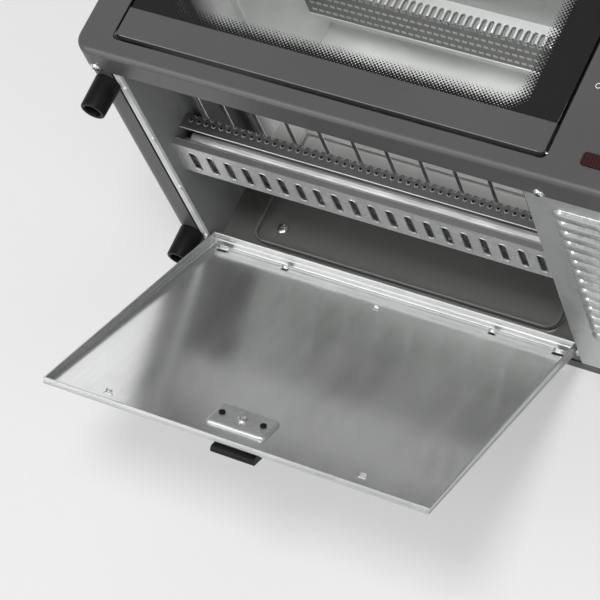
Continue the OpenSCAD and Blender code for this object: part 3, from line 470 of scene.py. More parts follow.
def red_lens():
    """Dark red moulded lens, with the fine ribs on its back showing through."""
    f = Finish("lens_red")
    ribs = f.add("ShaderNodeTexWave", bands_direction="X")
    ribs.inputs["Scale"].default_value = 120.0
    f.link(f.place, ribs.inputs["Vector"])
    colours = [(0.0, (0.012, 0.0015, 0.0025)), (1.0, (0.030, 0.004, 0.006))]
    f.set(Base_Color=f.ramp(ribs.outputs["Fac"], colours), Roughness=0.16, Specular_IOR_Level=0.4)
    return f.material


def glazed_ceramic(name, colour):
    """Glazed or moulded light part with fine pits."""
    f = Finish(name)
    pits = f.noise(300)
    f.set(Base_Color=f.ramp(pits, [(0.3, toned(colour, 0.85)), (0.6, colour)]), Roughness=0.32)
    return f.bump(pits, 0.15, 0.0002).material


# the casing's paint is the front's grey made a little lighter: painted light on the casing's flange
PAINT = baked_paint("paint_grey", (0.060, 0.0605, 0.061), 0.38)
PAINT_FRONT = baked_paint("paint_front", (0.056, 0.056, 0.0565), 0.32)
# a light grey enamel for the door trim's edge roll: painted highlight
HIGHLIGHT_ENAMEL = baked_paint("enamel_painted_highlight", (0.20, 0.20, 0.20), 0.16)
ENAMEL = baked_paint("enamel_black", (0.014, 0.014, 0.015), 0.30)
ZINC = zinc_sheet("zinc_strip", (0.52, 0.53, 0.525), 0.36, 420, 0.14)
ZINC_PANEL = zinc_sheet("zinc_louvre_panel", (0.54, 0.555, 0.547), 0.34, 260, 0.05, streak=30)
ZINC_HOODS = zinc_sheet("zinc_hoods", (0.55, 0.565, 0.557), 0.205, 260, 0.05, streak=30)
# the strip's front lip, beyond 159.3 mm, is darkened: painted shade
ZINC_SLOTTED = zinc_sheet("zinc_slotted", (0.60, 0.605, 0.60), 0.44, 700, 0.16, shade_beyond=159.3)
ZINC_RIM = zinc_sheet("zinc_rim", (0.51, 0.52, 0.515), 0.34, 50, 0.04)
ZINC_HATCH = rolled_hatch_sheet("zinc_hatch", (0.555, 0.562, 0.557), 0.207)
FLANGE_ZINC, LIGHT_ZINC = (0.60, 0.61, 0.605), (0.92, 0.93, 0.92)
# the cavity's sheet is pale zinc: this dark grey for it, and the darker tones below and beyond the given heights,
# are painted shade
ZINC_CAVITY = cavity_sheet("zinc_cavity", (0.24, 0.248, 0.245), 0.42, 0.45, foot=FLANGE_ZINC)
ZINC_LEFT = cavity_sheet("zinc_left_wall", LIGHT_ZINC, 0.42, 0.12, foot=FLANGE_ZINC, shade_below=100.0, fade=20.0,
                         painted_shade=(0.165, 0.17, 0.168))
ZINC_CEILING = cavity_sheet("zinc_ceiling", LIGHT_ZINC, 0.34, 0.1, shade_beyond=100.0, painted_shade=(0.40, 0.41, 0.40))
ZINC_BACK = cavity_sheet("zinc_back", (0.83, 0.84, 0.82), 0.36, 0.15, shade_below=88.0, fade=64.0)
BRIGHT = bright_sheet("bright_sheet", (0.56, 0.56, 0.555), 0.34)
GUARD = bright_sheet("guard_sheet", (0.235, 0.24, 0.24), 0.40)
# the guard's dark base grey is painted shade
UPPER_GUARD = upper_guard_sheet("upper_guard_sheet", (0.96, 0.97, 0.96), (0.17, 0.175, 0.17), 0.29)
UPPER_DASH = cavity_sheet("upper_guard_dash", (0.52, 0.53, 0.52), 0.35, 0.2)
BRIGHT_HEM = cavity_sheet("bright_hem", (0.95, 0.96, 0.95), 0.35, 0.2)
UPPER_SHEATH = cavity_sheet("upper_heater_sheath", (0.62, 0.63, 0.62), 0.35, 0.3)
TROUGH = trough_sheet("trough_sheet", (0.43, 0.43, 0.425), 0.33)
DARK_SHEATH = bright_sheet("heater_sheath", (0.20, 0.195, 0.19), 0.40)
CHROME = chrome_plate("chrome", (0.72, 0.72, 0.73), 0.12)
NICKEL = chrome_plate("nickel_screws", (0.72, 0.71, 0.69), 0.17)
# a darker steel for the back wall's screw: painted shade
SHADED_STEEL = chrome_plate("steel_painted_shade", (0.42, 0.42, 0.41), 0.24)
BLACK = moulded_plastic("black_plastic", (0.0040, 0.0040, 0.0042), 0.36)
PHENOLIC = moulded_plastic("phenolic_brown", (0.10, 0.055, 0.03), 0.45)
WHITE_PRINT = moulded_plastic("white_print", (0.72, 0.72, 0.72), 0.5)
GLASS = printed_glass()
LENS = red_lens()
CERAMIC = glazed_ceramic("ceramic", (0.72, 0.70, 0.62))
LAMP = glazed_ceramic("lamp_glass", (0.7, 0.22, 0.08))

FINISH_OF_SLOT = {
    "paint": PAINT, "galvanised": ZINC_CAVITY, "bright_steel": BRIGHT, "chrome": CHROME,
    "black_plastic": BLACK, "enamel_black": ENAMEL, "glass": GLASS, "ceramic": CERAMIC,
    "phenolic": PHENOLIC, "red_lens": LENS, "lamp": LAMP,
}
FINISH_OF_NODE = {
    "front_bezel": PAINT_FRONT, "door_lower_trim": PAINT_FRONT, "door_upper_trim": PAINT_FRONT,
    "bottom_louvre_panel": ZINC_PANEL, "slotted_heater_strip": ZINC_SLOTTED, "hatch_panel": ZINC_HATCH,
    "hatch_latch_plate": ZINC, "hatch_hinge_bracket_left": ZINC, "hatch_hinge_bracket_right": ZINC,
    "timer_body": ZINC, "cavity_left_wall": ZINC_LEFT, "cavity_ceiling": ZINC_CEILING,
    "cavity_back_wall": ZINC_BACK, "lower_heater_reflector": TROUGH, "lower_heater_guard": GUARD,
    "lower_heater_tube": DARK_SHEATH, "upper_heater_guard": UPPER_GUARD, "upper_heater_tube": UPPER_SHEATH,
    "bezel_screws": NICKEL, "hatch_grip_screw": NICKEL, "back_wall_screw": SHADED_STEEL,
}


# Pieces

def put_on(piece, node, finish=None, replace=True):
    """The piece takes a node's body, slot and finish, and may stand for the node."""
    piece.data.materials.clear()
    piece.data.materials.append(finish or FINISH_OF_NODE.get(node) or FINISH_OF_SLOT[SLOT_OF[node]])
    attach(piece, BODY_OF[node])
    if replace:
        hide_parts(node)
    return piece


def closed_piece(name, node, points, faces, smooth_angle, finish=None, replace=True):
    """A closed mesh from points in millimetres, with its faces outwards, put on a node."""
    return put_on(outwards(add_mesh(name, to_row(points), faces, smooth_angle)), node, finish, replace)


def softened(node, edge):
    """A merged copy of a node with its sharp edges rounded by a small bevel, in millimetres."""
    obj = bpy.data.objects.new(node + "_softened", NODES[node].data.copy())
    COLLECTION.objects.link(obj)
    outwards(obj)
    shade(obj, 32.0)
    if edge:
        bevel = obj.modifiers.new("edge", "BEVEL")
        bevel.width = edge / 1000.0
        bevel.segments = 2
        bevel.limit_method = "ANGLE"
        bevel.angle_limit = math.radians(40)
    even_normals(obj)
    return put_on(obj, node)


def even_normals(obj):
    """Lets large flat faces set the shading where they meet small bends."""
    obj.modifiers.new("flats", "WEIGHTED_NORMAL").keep_sharp = True


def solidify(obj, thickness, offset=0.0):
    """Gives a sheet its thickness in millimetres."""
    wall = obj.modifiers.new("wall", "SOLIDIFY")
    wall.thickness = thickness / 1000.0
    wall.offset = offset
    wall.use_even_offset = True


def beads(name, node, paths, radius, finish, closed=True):
    """Thin round beads carried along paths, as the bright pressed lips of holes and ribs."""
    points, faces = join_shells([swept_tube(path, radius, closed) for path in paths])
    return closed_piece(name, node, points, faces, 60, finish, replace=False)


def straight_bead(name, node, left, right, y, z, radius, finish):
    """One bead straight across, from left to right."""
    across = np.linspace(left, right, 9)
    path = np.stack([across, np.full(9, y), np.full(9, z)], -1)
    return beads(name, node, [path], radius, finish, closed=False)


def foot_shell(node, x, z):
    """A tapered hollow foot, turned from a profile with a rounded rim, hanging towards -y."""
    top, tip, bore, height, floor, screw_hole = 10.5, 10.0, 6.75, 27.3, 9.0, 2.1
    profile = [(screw_hole, 0.0), (top - 0.6, 0.0)]
    profile += fillet((top - 0.6, 0.6), 0.6, -90, 0, 4)
    profile += fillet((tip - 1.2, height - 1.2), 1.2, 0, 90, 7)
    profile += fillet((bore + 0.9, height - 0.9), 0.9, 90, 180, 6)
    profile += fillet((bore - 0.8, floor + 0.8), 0.8, 0, -90, 5)
    profile += [(screw_hole, floor), (screw_hole, 0.0)]
    points, faces = turned_shell(profile, 64)
    placed = np.stack([x + points[..., 0], UNDERSIDE_Y - points[..., 2], z + points[..., 1]], -1)
    return closed_piece(node + "_turned", node, placed, faces, 40)


def knob_shell(node, y):
    """A knob turned from a profile, whose skirt radius swells in even flutes: radius times
    (1 - depth (0.5 + 0.5 cos n a)) between its base and its crown. The bar across it is a
    height field: it rises as the root of a sine across its width, and its half width and
    height shrink towards its ends."""
    crown, flutes, depth, half_width = 20.4, 24, 0.035, 4.4
    rings = [(3.0, 0.0), (23.0, 0.0)] + fillet((22.9, 0.6), 0.6, -90, 90, 6) + [(22.0, 1.6), (21.6, 2.4)]
    rings += [(21.5, 4.0), (21.3, 7.0)] + fillet((crown - 1.2, 7.8), 1.2, 0, 90, 6)
    rings += [(12.0, 9.0), (3.0, 9.0), (0.001, 9.0)]
    points, faces = turned_shell(rings, 144)
    angle = np.arctan2(points[..., 1], points[..., 0])
    height = points[..., 2]
    share = np.clip((height - 2.4) / 0.8, 0, 1) * np.clip((8.9 - height) / 0.8, 0, 1)
    points[..., :2] *= (1 - depth * share * (0.5 + 0.5 * np.cos(flutes * angle)))[..., None]
    t = np.linspace(-1, 1, 33)[:, None]
    a = np.linspace(0, 1, 13)[None, :]
    across = half_width * (1 - 0.45 * t ** 2) * -np.cos(np.pi * a)
    lift = KNOB_SEAT + (KNOB_CROWN - KNOB_SEAT - 0.2) * np.sin(np.pi * a) ** 0.45 * (1 - 0.12 * t ** 4)
    along = KNOB_REACH * t + 0 * across
    bar = np.stack([across, along, lift], -1)
    bottom = np.stack([across, along, KNOB_SEAT + 0 * across], -1)
    bar_faces = grid_faces(33, 13)
    shells = [(points, faces), (bar, bar_faces), (bottom, [f[::-1] for f in bar_faces])]
    shells += [(np.stack([bar[end], bottom[end]]), grid_faces(2, 13)) for end in (0, -1)]
    all_points, all_faces = join_shells(shells)
    return closed_piece(node + "_turned", node, all_points + [KNOB_X, y, KNOB_BASE_Z], all_faces, 50)


def knob_pointer(node, y):
    """White line set into the end of a knob's bar: a narrow strip whose height follows the bar's
    crest, which falls as the fourth power of the way to its end."""
    u = np.linspace(-0.55, 0.55, 3)[:, None]
    v = np.linspace(9.0, 19.4, 8)[None, :]
    lift = KNOB_SEAT + (KNOB_CROWN - KNOB_SEAT - 0.2) * (1 - 0.12 * (v / KNOB_REACH) ** 4) + 0.06
    points = np.stack([u + 0 * v, v + 0 * u, lift + 0 * u], -1) + [KNOB_X, y, KNOB_BASE_Z]
    piece = add_mesh(node + "_pointer", to_row(points), [f[::-1] for f in grid_faces(3, 8)])
    solidify(piece, 0.12)
    return put_on(piece, node, WHITE_PRINT, replace=False)


def hatch_cuts():
    """The corner slots and the small cuts beside the tabs, as x and z extremes on the hatch."""
    cuts = [(7.0, 17.0, 6.0, 10.0), (HATCH_WIDTH - 17.0, HATCH_WIDTH - 7.0, 6.0, 10.0)]
    return cuts + [(x - 3.0, x + 3.0, z - 1.6, z + 1.8) for x, z in TAB_PLACES]


def hatch_heights(piece):
    """Height of each face's middle over the hatch's outer face, by turning back its place."""
    middle = np.empty(3 * len(piece.data.polygons))
    piece.data.polygons.foreach_get("center", middle)
    p = middle.reshape(-1, 3) * 1000.0 + [HOUSING_W / 2, HOUSING_H / 2, 0.0]
    return ((p[:, 1] - HATCH_PIVOT[0]) * math.cos(HATCH_TURN) + (p[:, 2] - HATCH_PIVOT[1]) * math.sin(HATCH_TURN)
            + HATCH_PIVOT_OFF_FACE)


def rim_section(rim):
    """The rim's profile as inset and height: up the outside over the bend and a crease, round
    the hem, and down the inside one sheet further in."""
    sheet, bend, hem_radius = HATCH_SHEET, HATCH_BEND, 0.75
    quarter = np.radians(np.linspace(15, 90, 6))
    outer = [(bend, 0.0)] + [(bend - bend * math.sin(a), bend - bend * math.cos(a)) for a in quarter]
    outer += [(0.0, 3.2), (0.55, 3.8), (0.55, 5.3), (0.0, 6.0), (0.0, rim - hem_radius)]
    hem = [(hem_radius - hem_radius * math.cos(a), rim - hem_radius + hem_radius * math.sin(a))
           for a in np.radians(np.linspace(20, 180, 9))]
    inner = [(1.5, rim - 3.4), (1.42, rim - 3.6), (0.9, rim - 3.62), (sheet, rim - 3.7), (sheet, 6.0)]
    inner += [(sheet + 0.55, 5.3), (sheet + 0.55, 3.8), (sheet, 3.2), (sheet, bend)]
    inner += [(bend - (bend - sheet) * math.cos(a), bend - (bend - sheet) * math.sin(a)) for a in quarter]
    return np.array(outer + hem + inner)


def rim_path(inner_x, inner_z):
    """The way round the hatch's four sides, through its corners and the given places between
    them. Each row is x, the step of x per inset, z, and the step of z per inset: both steps
    are 1 at a corner, and one of them is 0 between corners."""
    def side(start, between, step):
        places = np.concatenate([[start], between])
        return places, np.concatenate([[step], 0 * between]), np.ones(len(places))
    along_x, step_x, ones_x = side(0.0, inner_x, 1.0)
    along_z, step_z, ones_z = side(0.0, inner_z, 1.0)
    back_x, step_back_x, _ = side(HATCH_WIDTH, inner_x[::-1], -1.0)
    back_z, step_back_z, _ = side(HATCH_LENGTH, inner_z[::-1], -1.0)
    return np.concatenate([
        np.stack([along_x, step_x, 0 * ones_x, ones_x], -1),
        np.stack([HATCH_WIDTH * ones_z, -ones_z, along_z, step_z], -1),
        np.stack([back_x, step_back_x, HATCH_LENGTH * ones_x, -ones_x], -1),
        np.stack([0 * ones_z, ones_z, back_z, step_back_z], -1)])


def hatch_pan():
    """The hemmed pan: a flat plate whose rim profile is carried round all four sides. Each
    profile point stands a distance in from the edge, so the mitred corner falls at that same
    distance from both sides. Heights above the bend shrink in a straight line from the full
    rim at the rear to the low one at the front."""
    sheet, bend, rim, front_rim = HATCH_SHEET, HATCH_BEND, 11.5, 6.0
    section = rim_section(rim)
    inset, height = section[:, 0], section[:, 1]
    cuts = hatch_cuts()
    xs = np.unique([bend, HATCH_WIDTH - bend] + [x for cut in cuts for x in cut[:2]])
    zs = np.unique([bend, HATCH_LENGTH - bend] + [z for cut in cuts for z in cut[2:]])
    middle_x, middle_z = (xs[:-1] + xs[1:]) / 2, (zs[:-1] + zs[1:]) / 2
    is_cut = np.zeros((len(middle_x), len(middle_z)), bool)
    for x0, x1, z0, z1 in cuts:
        is_cut |= ((middle_x > x0) & (middle_x < x1))[:, None] & ((middle_z > z0) & (middle_z < z1))[None, :]
    x, step_x, z, step_z = (column[:, None] for column in rim_path(xs[1:-1], zs[1:-1]).T)
    rings = np.stack([x + step_x * inset, height + 0 * x, z + step_z * inset], -1)
    share = 1.0 - (rim - front_rim) / (rim - bend) * rings[..., 2] / HATCH_LENGTH
    rings[..., 1] = np.where(rings[..., 1] > bend, bend + (rings[..., 1] - bend) * share, rings[..., 1])
    plate = [(rings, grid_faces(len(rings), len(section), wrap_rows=True))]
    kept = [quad for quad, gone in zip(grid_faces(len(xs), len(zs)), is_cut.reshape(-1)) if not gone]
    for y, flip in ((0.0, False), (sheet, True)):
        points = np.stack([xs[:, None] + 0 * zs, y + 0 * xs[:, None] + 0 * zs, zs[None, :] + 0 * xs[:, None]], -1)
        plate.append((points, [q[::-1] for q in kept] if flip else kept))
    for x0, x1, z0, z1 in cuts:
        ring = np.array([(x, z0) for x in xs[(xs >= x0) & (xs < x1)]]
                        + [(x1, z) for z in zs[(zs >= z0) & (zs < z1)]]
                        + [(x, z1) for x in xs[(xs > x0) & (xs <= x1)][::-1]]
                        + [(x0, z) for z in zs[(zs > z0) & (zs <= z1)][::-1]])
        wall = np.stack([np.stack([ring[:, 0], np.full(len(ring), y), ring[:, 1]], -1) for y in (0.0, sheet)])
        plate.append((wall, grid_faces(2, len(ring), wrap_columns=True)))
    points, faces = join_shells(plate)
    piece = closed_piece("hatch_pan", "hatch_panel", on_hatch(points), faces, 35)
    piece.data.materials.append(ZINC_RIM)
    piece.data.polygons.foreach_set("material_index", (hatch_heights(piece) > 1.6).astype(np.int32))
    even_normals(piece)
    return piece


def lanced_tab(name, left, right, z, length, lift):
    """A tongue cut out of the hatch and bent up: its height grows as the power 1.5 of the way
    along it, and its reach as a sine, so that it curls over."""
    t = np.linspace(0, 1, 9)[:, None]
    u = np.linspace(0, 1, 4)[None, :]
    points = np.stack([left + (right - left) * u + 0 * t, 0.9 + lift * t ** 1.5 + 0 * u,
                       z - length * np.sin(1.35 * t) + 0 * u], -1)
    piece = add_mesh(name, to_row(on_hatch(points)), grid_faces(9, 4))
    solidify(piece, 0.6)
    return put_on(piece, "hatch_panel", ZINC, replace=False)


def latch_plate():
    """The grip's backing plate: rings of a rectangle with round corners, whose inset grows as
    1 - cos and whose height grows as sin, so that its edge rolls over from foot to face."""
    left, right, near, far, face, roll, edge = 129.24, 179.24, 207.0, 235.0, 3.8, 2.9, 0.4
    turn = np.radians(np.linspace(0, 90, 8))
    insets = np.concatenate([[0.0], roll * (1 - np.cos(turn))])
    heights = np.concatenate([[HATCH_SHEET], HATCH_SHEET + edge + (face - HATCH_SHEET - edge) * np.sin(turn)])
    rings = []
    for inset, height in zip(insets, heights):
        ring = round_rectangle(left + inset, right - inset, near + inset, far - inset, max(4.0 - inset, 1.2), 6)
        rings.append([(x, height, z) for x, z in ring])
    count = len(rings[0])
    faces = grid_faces(len(rings), count, wrap_columns=True)
    faces += [list(range(count)), list(range((len(rings) - 1) * count, len(rings) * count))[::-1]]
    return closed_piece("latch_plate_rolled", "hatch_latch_plate", on_hatch(rings), faces, 50)


def slot_lips():
    """Pressed lips round the strip's slots: a thin bead carried round each slot's outline."""
    half_w, half_l, radius, y, z = 3.3, 12.5, 2.4, 14.45, 139.7
    outline = np.array([(across, y, z + along) for across, along in
                        round_rectangle(-half_w, half_w, -half_l, half_l, radius, 4)])
    pitch = STRIP_LENGTH / (STRIP_SLOTS + 1)
    paths = [outline + [STRIP_LEFT + pitch * (i + 1), 0, 0] for i in range(STRIP_SLOTS)]
    beads("strip_slot_lips", "slotted_heater_strip", paths, 0.4, ZINC_RIM)


def edge_rolls():
    """Bright rolled edges: two along the slotted strip's front lip, at its fold and its rim, and
    one along the lower edge of the door's trim in a light grey enamel, a painted highlight."""
    straight_bead("strip_fold_roll", "slotted_heater_strip", 33.0, 362.8, 14.7, 159.2, 0.45, ZINC_RIM)
    straight_bead("strip_rim_roll", "slotted_heater_strip", 33.0, 362.8, 20.4, 159.2, 0.45, ZINC_RIM)
    straight_bead("door_trim_roll", "door_lower_trim", 33.0, 371.0, 19.8, 304.75, 0.38, HIGHLIGHT_ENAMEL)


def lower_guard_lips():
    """Lips under the lower guard's front holes, half a circle each, and round its scallops, half
    an ellipse each, with a hem along its lower edge, all lighter than the guard: painted highlight."""
    t = np.radians(np.linspace(180, 360, 7))
    hole = np.stack([1.45 * np.cos(t), 37.24 + 1.45 * np.sin(t), np.full(7, 161.3)], -1)
    scallop = np.stack([1.5 * np.cos(t), 42.55 + 2.12 * np.sin(t), np.full(7, 161.4)], -1)
    # the lips and hem take a lighter grey than the guard sheet: painted highlight on its edges
    for name, arc, start, radius in (("lower_guard_hole_lips", hole, HOLE_START, 0.42),
                                     ("lower_guard_scallop_lips", scallop, SCALLOP_START, 0.2)):
        paths = [arc + [start + HOLE_PITCH * i, 0, 0] for i in range(HOLE_COUNT)]
        beads(name, "lower_heater_guard", paths, radius, UPPER_DASH, closed=False)
    straight_bead("lower_guard_hem", "lower_heater_guard", 33.0, 361.5, 29.5, 161.2, 0.5, UPPER_DASH)


def upper_guard_lips():
    """Lips round the upper guard's openings: each oval runs over the bend, up one side of the
    front face, round a half circle, down the other side and back along the base. A lanced
    tongue lies in each dash of the base, the base's rear edge is hemmed, and a liner plate
    shows behind the ovals."""
    half, base, up, back, front = 1.85, UPPER_GUARD_BASE, 222.0, 95.0, 100.0
    arc = [(half * math.cos(t), up + half * math.sin(t), front) for t in np.radians(np.linspace(0, 180, 7))]
    oval = np.array([(half, base, back), (half, base, front)] + arc + [(-half, base, front), (-half, base, back)])
    places = [OVAL_START + OVAL_PITCH * i for i in range(OVAL_COUNT)]
    beads("upper_guard_oval_lips", "upper_heater_guard", [oval + [x, 0, 0] for x in places], 0.36, ZINC_RIM)
    corners = np.array([(-2.1, 0.0, -1.5), (2.1, 0.0, -1.5), (2.1, 0.0, 1.5), (-2.1, 0.0, 1.5)])
    tongue = np.stack([corners + [0, base + 0.15, 0], corners + [0, base - 0.25, 0]])
    rows = (85.5, 75.0, 64.5)
    points, faces = join_shells([(tongue + [x, 0, z], BOX_FACES) for x in places for z in rows])
    closed_piece("upper_guard_dashes", "upper_heater_guard", points, faces, 30, UPPER_DASH, replace=False)
    straight_bead("upper_guard_hem", "upper_heater_guard", 33.0, 363.0, base, 56.6, 0.9, BRIGHT_HEM)
    ends = np.array([(33.5, 214.2), (362.5, 214.2), (362.5, 231.5), (33.5, 231.5)])
    liner = np.stack([np.column_stack([ends, np.full(4, z)]) for z in (96.0, 96.6)])
    closed_piece("upper_guard_liner", "upper_heater_guard", liner, BOX_FACES, 30, UPPER_DASH, replace=False)


def back_wall_ribs():
    """The back wall's pressed outline, a rectangle with round corners, and the bead across it."""
    left, right, low, high, z = 61.9, 333.9, 17.6, 190.4, 20.0
    outline = np.array([(x, y, z) for x, y in round_rectangle(left, right, low, high, 10.0, 7)])
    beads("back_wall_outline", "cavity_back_wall", [outline], 1.3, ZINC_BACK)
    straight_bead("back_wall_bead", "cavity_back_wall", left, right, 123.6, z, 1.3, ZINC_BACK)


def bezel_screw_heads():
    """Cross-recessed screws with washers under the bezel's flange: a washer and a domed head are
    turned from one profile of radius and drop; the recess is two sunk black bars, painted shade."""
    shells, bars = [], []
    profile = [(1.4, 0.0), (4.3, 0.0), (4.5, 0.15), (4.5, 0.5), (4.3, 0.65), (3.5, 0.65), (3.45, 1.1)]
    profile += [(3.4 * math.cos(t), 1.1 + 1.2 * math.sin(t)) for t in np.radians(np.linspace(10, 88, 8))]
    profile += [(0.001, 2.3)]
    for x in BEZEL_SCREWS_X:
        points, faces = turned_shell(profile, 32)
        head = np.stack([x + points[..., 0], -points[..., 2], BEZEL_SCREWS_Z + points[..., 1]], -1)
        shells.append((head, faces))
        for half_x, half_z in ((2.1, 0.42), (0.42, 2.1)):
            square = np.array([(-half_x, -half_z), (half_x, -half_z), (half_x, half_z), (-half_x, half_z)])
            ring = [np.stack([x + square[:, 0], np.full(4, drop), BEZEL_SCREWS_Z + square[:, 1]], -1)
                    for drop in (-1.2, -2.33)]
            bars.append((np.stack(ring), BOX_FACES))
    points, faces = join_shells(shells)
    closed_piece("bezel_screw_heads", "bezel_screws", points, faces, 30)
    points, faces = join_shells(bars)
    # black bars in the cross recesses: painted shade
    closed_piece("bezel_screw_recesses", "bezel_screws", points, faces, 30, BLACK, replace=False)


def louvre_hoods():
    """Clean skins over the louvres. A hood is a height field: its height is H (1 - (r/R)^3),
    full at its open rear edge and nothing at the panel, where r is the distance from a straight
    spine and from the spine's two ends, so each end is a quarter turn."""
    reach, rise, length = 9.0, 3.6, 28.0
    r = np.linspace(0.0, reach, 15)[:, None]
    turn = np.radians(np.linspace(90, 0, 13))
    left = np.stack([-r * np.sin(turn), r * np.cos(turn)])
    straight = np.stack([np.linspace(0, length, 9)[None, 1:-1] + 0 * r, r + np.zeros((1, 7))])
    right = np.stack([length + r * np.sin(turn[::-1]), r * np.cos(turn[::-1])])
    across, ahead = np.concatenate([left, straight, right], 2)
    drop = rise * (1 - (r / reach) ** 3) + 0 * ahead
    shells = []
    for i in range(LOUVRE_COUNT):
        z = LOUVRE_START - LOUVRE_PITCH * i
        shells.append((np.stack([LOUVRE_LEFT + across, UNDERSIDE_Y - drop - 0.05, z + ahead], -1),
                       grid_faces(*across.shape)))
    points, faces = join_shells(shells)
    piece = add_mesh("louvre_hoods", to_row(points), [f[::-1] for f in faces], 30)
    solidify(piece, 0.4, -1.0)
    return put_on(piece, "bottom_louvre_panel", ZINC_HOODS, replace=False)


def scale_marks(name, y, sweep, count=13):
    """Plain printed ticks round a knob and a small ring at the start of the scale, each a thin
    raised patch on the bezel."""
    shells = []
    for i in range(count):
        a = math.radians(90 + sweep / 2 - sweep * i / (count - 1))
        inner, outer, half = 27.0, (30.2 if i % 2 == 0 else 28.8), 0.35
        along, across = np.array([math.cos(a), math.sin(a)]), np.array([-math.sin(a), math.cos(a)])
        square = [along * r + across * s * half for r, s in ((inner, -1), (outer, -1), (outer, 1), (inner, 1))]
        top = np.array([[KNOB_X + p[0], y + p[1], HOUSING_D + 0.06] for p in square])
        shells.append((np.stack([top - [0, 0, 0.1], top]), BOX_FACES))
    a = np.linspace(0, 2 * np.pi, 24, endpoint=False)
    ring = np.stack([390.6 + 1.9 * np.cos(a), y - 22 + 1.9 * np.sin(a), np.full(24, HOUSING_D)], -1)
    shells.append(swept_tube(ring, 0.22, closed=True))
    points, faces = join_shells(shells)
    return closed_piece(name, "front_bezel", points, faces, 30, WHITE_PRINT, replace=False)


BEVELS = {
    "outer_casing": 0, "front_bezel": 0, "cord_bush": 0.3, "back_wall_screw": 0.12, "foot_screws": 0.12,
    "hatch_grip_screw": 0.12, "hatch_grip_studs": 0.4, "hatch_grip": 0.6, "door_lower_trim": 0.9,
    "door_upper_trim": 0.9, "door_glass": 0.4, "door_inner_frame": 0.4, "door_handle_bar": 0,
    "door_handle_posts": 0.3, "indicator_lens": 0.4, "cavity_back_wall": 0, "cavity_left_wall": 0.3,
    "cavity_right_wall": 0.3, "cavity_ceiling": 0.2, "front_frame": 0.2, "wire_rack": 0,
    "lower_heater_guard": 0, "upper_heater_guard": 0, "slotted_heater_strip": 0, "bottom_louvre_panel": 0,
    "lower_heater_reflector": 0.15, "lower_heater_tube": 0.2, "upper_heater_tube": 0.2,
    "lower_heater_brackets": 0.2, "upper_heater_brackets": 0.2, "heater_terminals": 0.4,
    "hatch_hinge_bracket_left": 0.2, "hatch_hinge_bracket_right": 0.2, "hatch_hinge_pins": 0.2,
    "door_hinge_pins": 0.2, "rear_cover": 0, "rear_cover_screws": 0, "temperature_shaft": 0.2,
    "timer_shaft": 0.2, "thermostat_body": 0.6, "timer_body": 0.6, "indicator_lamp": 0.3,
}
for node, edge in BEVELS.items():
    softened(node, edge)

for end, z in (("front", FRONT_FOOT_Z), ("rear", REAR_FOOT_Z)):
    foot_shell("foot_%s_left" % end, FOOT_OFF_SIDE, z)
    foot_shell("foot_%s_right" % end, HOUSING_W - FOOT_OFF_SIDE, z)

hatch_pan()
lanced_tab("hatch_corner_tab_0", 7.5, 16.5, 6.3, 0.9, 3.2)
lanced_tab("hatch_corner_tab_1", HATCH_WIDTH - 16.5, HATCH_WIDTH - 7.5, 6.3, 0.9, 3.2)
for i, (x, z) in enumerate(TAB_PLACES):
    lanced_tab("hatch_small_tab_%d" % i, x - 2.6, x + 2.6, z - 1.3, 0.8, 2.3)
latch_plate()
bezel_screw_heads()
louvre_hoods()
slot_lips()
edge_rolls()
lower_guard_lips()
upper_guard_lips()
back_wall_ribs()
for dial, y in KNOBS_Y.items():
    knob_shell(dial + "_knob", y)
    knob_pointer(dial + "_knob", y)
for dial, y in KNOBS_Y.items():
    scale_marks(dial + "_scale", y, KNOB_SWEEP[dial])


# Floor, light and camera

def studio_floor():
    """A pale sheet that shows as a plain light grey and keeps the oven's soft shadow."""
    f = Finish("floor_pale")
    rays = f.add("ShaderNodeLightPath")
    seen = f.math("MAXIMUM", f.math("MAXIMUM", rays.outputs["Is Camera Ray"], rays.outputs["Is Glossy Ray"]),
                  rays.outputs["Is Transmission Ray"])
    f.set(Base_Color=f.between(f.noise(3, 2), 0.35, 0.36), Roughness=0.9, Specular_IOR_Level=0.1,
          Emission_Color=(1.0, 1.0, 1.0), Emission_Strength=f.math("MULTIPLY", seen, 0.34))
    s = 6.0
    floor = add_mesh("studio_floor", [(-s, -s, 0), (s, -s, 0), (s, s, 0), (-s, s, 0)], [[0, 1, 2, 3]])
    floor.data.materials.append(f.material)


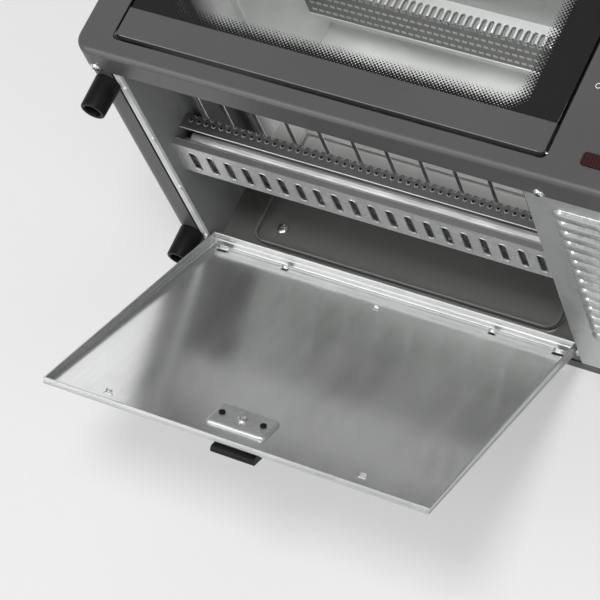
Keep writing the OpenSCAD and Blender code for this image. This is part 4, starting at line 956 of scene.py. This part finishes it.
def set_pose(obj, right, up, back, place):
    """Stands a lamp or camera at a place, with its own three axes along the given directions."""
    obj.matrix_world = Matrix([[right[i], up[i], back[i], place[i]] for i in range(3)] + [[0, 0, 0, 1]])


def soft_box(name, place, target, size, power):
    """A square area lamp that looks at a point."""
    data = bpy.data.lights.new(name, "AREA")
    data.shape, data.size, data.energy = "SQUARE", size, power
    lamp = bpy.data.objects.new(name, data)
    COLLECTION.objects.link(lamp)
    nearly_up = [0, 0.02, 1.0]
    back = np.array(place, float) - np.array(target, float)
    back /= np.linalg.norm(back)
    side = np.cross(nearly_up, back)
    side /= np.linalg.norm(side)
    set_pose(lamp, side, np.cross(back, side), back, place)


def photo_camera():
    """The camera fitted to the photograph, from its right and forward directions."""
    right, ahead = np.array([0.87461, 0.42049, -0.24134]), np.array([-0.3997, 0.34364, -0.8498])
    data = bpy.data.cameras.new("photo_camera")
    data.sensor_width, data.lens = 36.0, 165.08
    data.clip_start, data.clip_end = 0.05, 50.0
    camera = bpy.data.objects.new("photo_camera", data)
    COLLECTION.objects.link(camera)
    ahead /= np.linalg.norm(ahead)
    right -= ahead * right.dot(ahead)
    right /= np.linalg.norm(right)
    set_pose(camera, right, np.cross(right, ahead), -ahead, to_row([1010.26, -782.73, 1899.94]))
    bpy.context.scene.camera = camera


studio_floor()
soft_box("key_box", (-1.3, -1.5, 2.1), (0, 0, 0.15), 1.5, 26.0)
soft_box("fill_box", (1.9, -1.0, 1.5), (0, 0, 0.15), 1.4, 16.0)
soft_box("front_box", (0.15, -0.5, 2.6), (0, 0, 0.25), 0.7, 40.0)
soft_box("side_box", (-1.35, 2.0, 0.7), (-0.15, -0.2, 0.12), 1.6, 8.0)
soft_box("low_box", (-1.1, -2.2, 0.6), (0, -0.2, 0.12), 0.4, 6.5)
photo_camera()

world = bpy.data.worlds.new("studio")
bpy.context.scene.world = world
world.use_nodes = True
sky = world.node_tree.nodes["Background"]
sky.inputs["Color"].default_value = (1.0, 1.0, 1.0, 1.0)
sky.inputs["Strength"].default_value = 0.45
bpy.context.scene.view_settings.view_transform = "Standard"
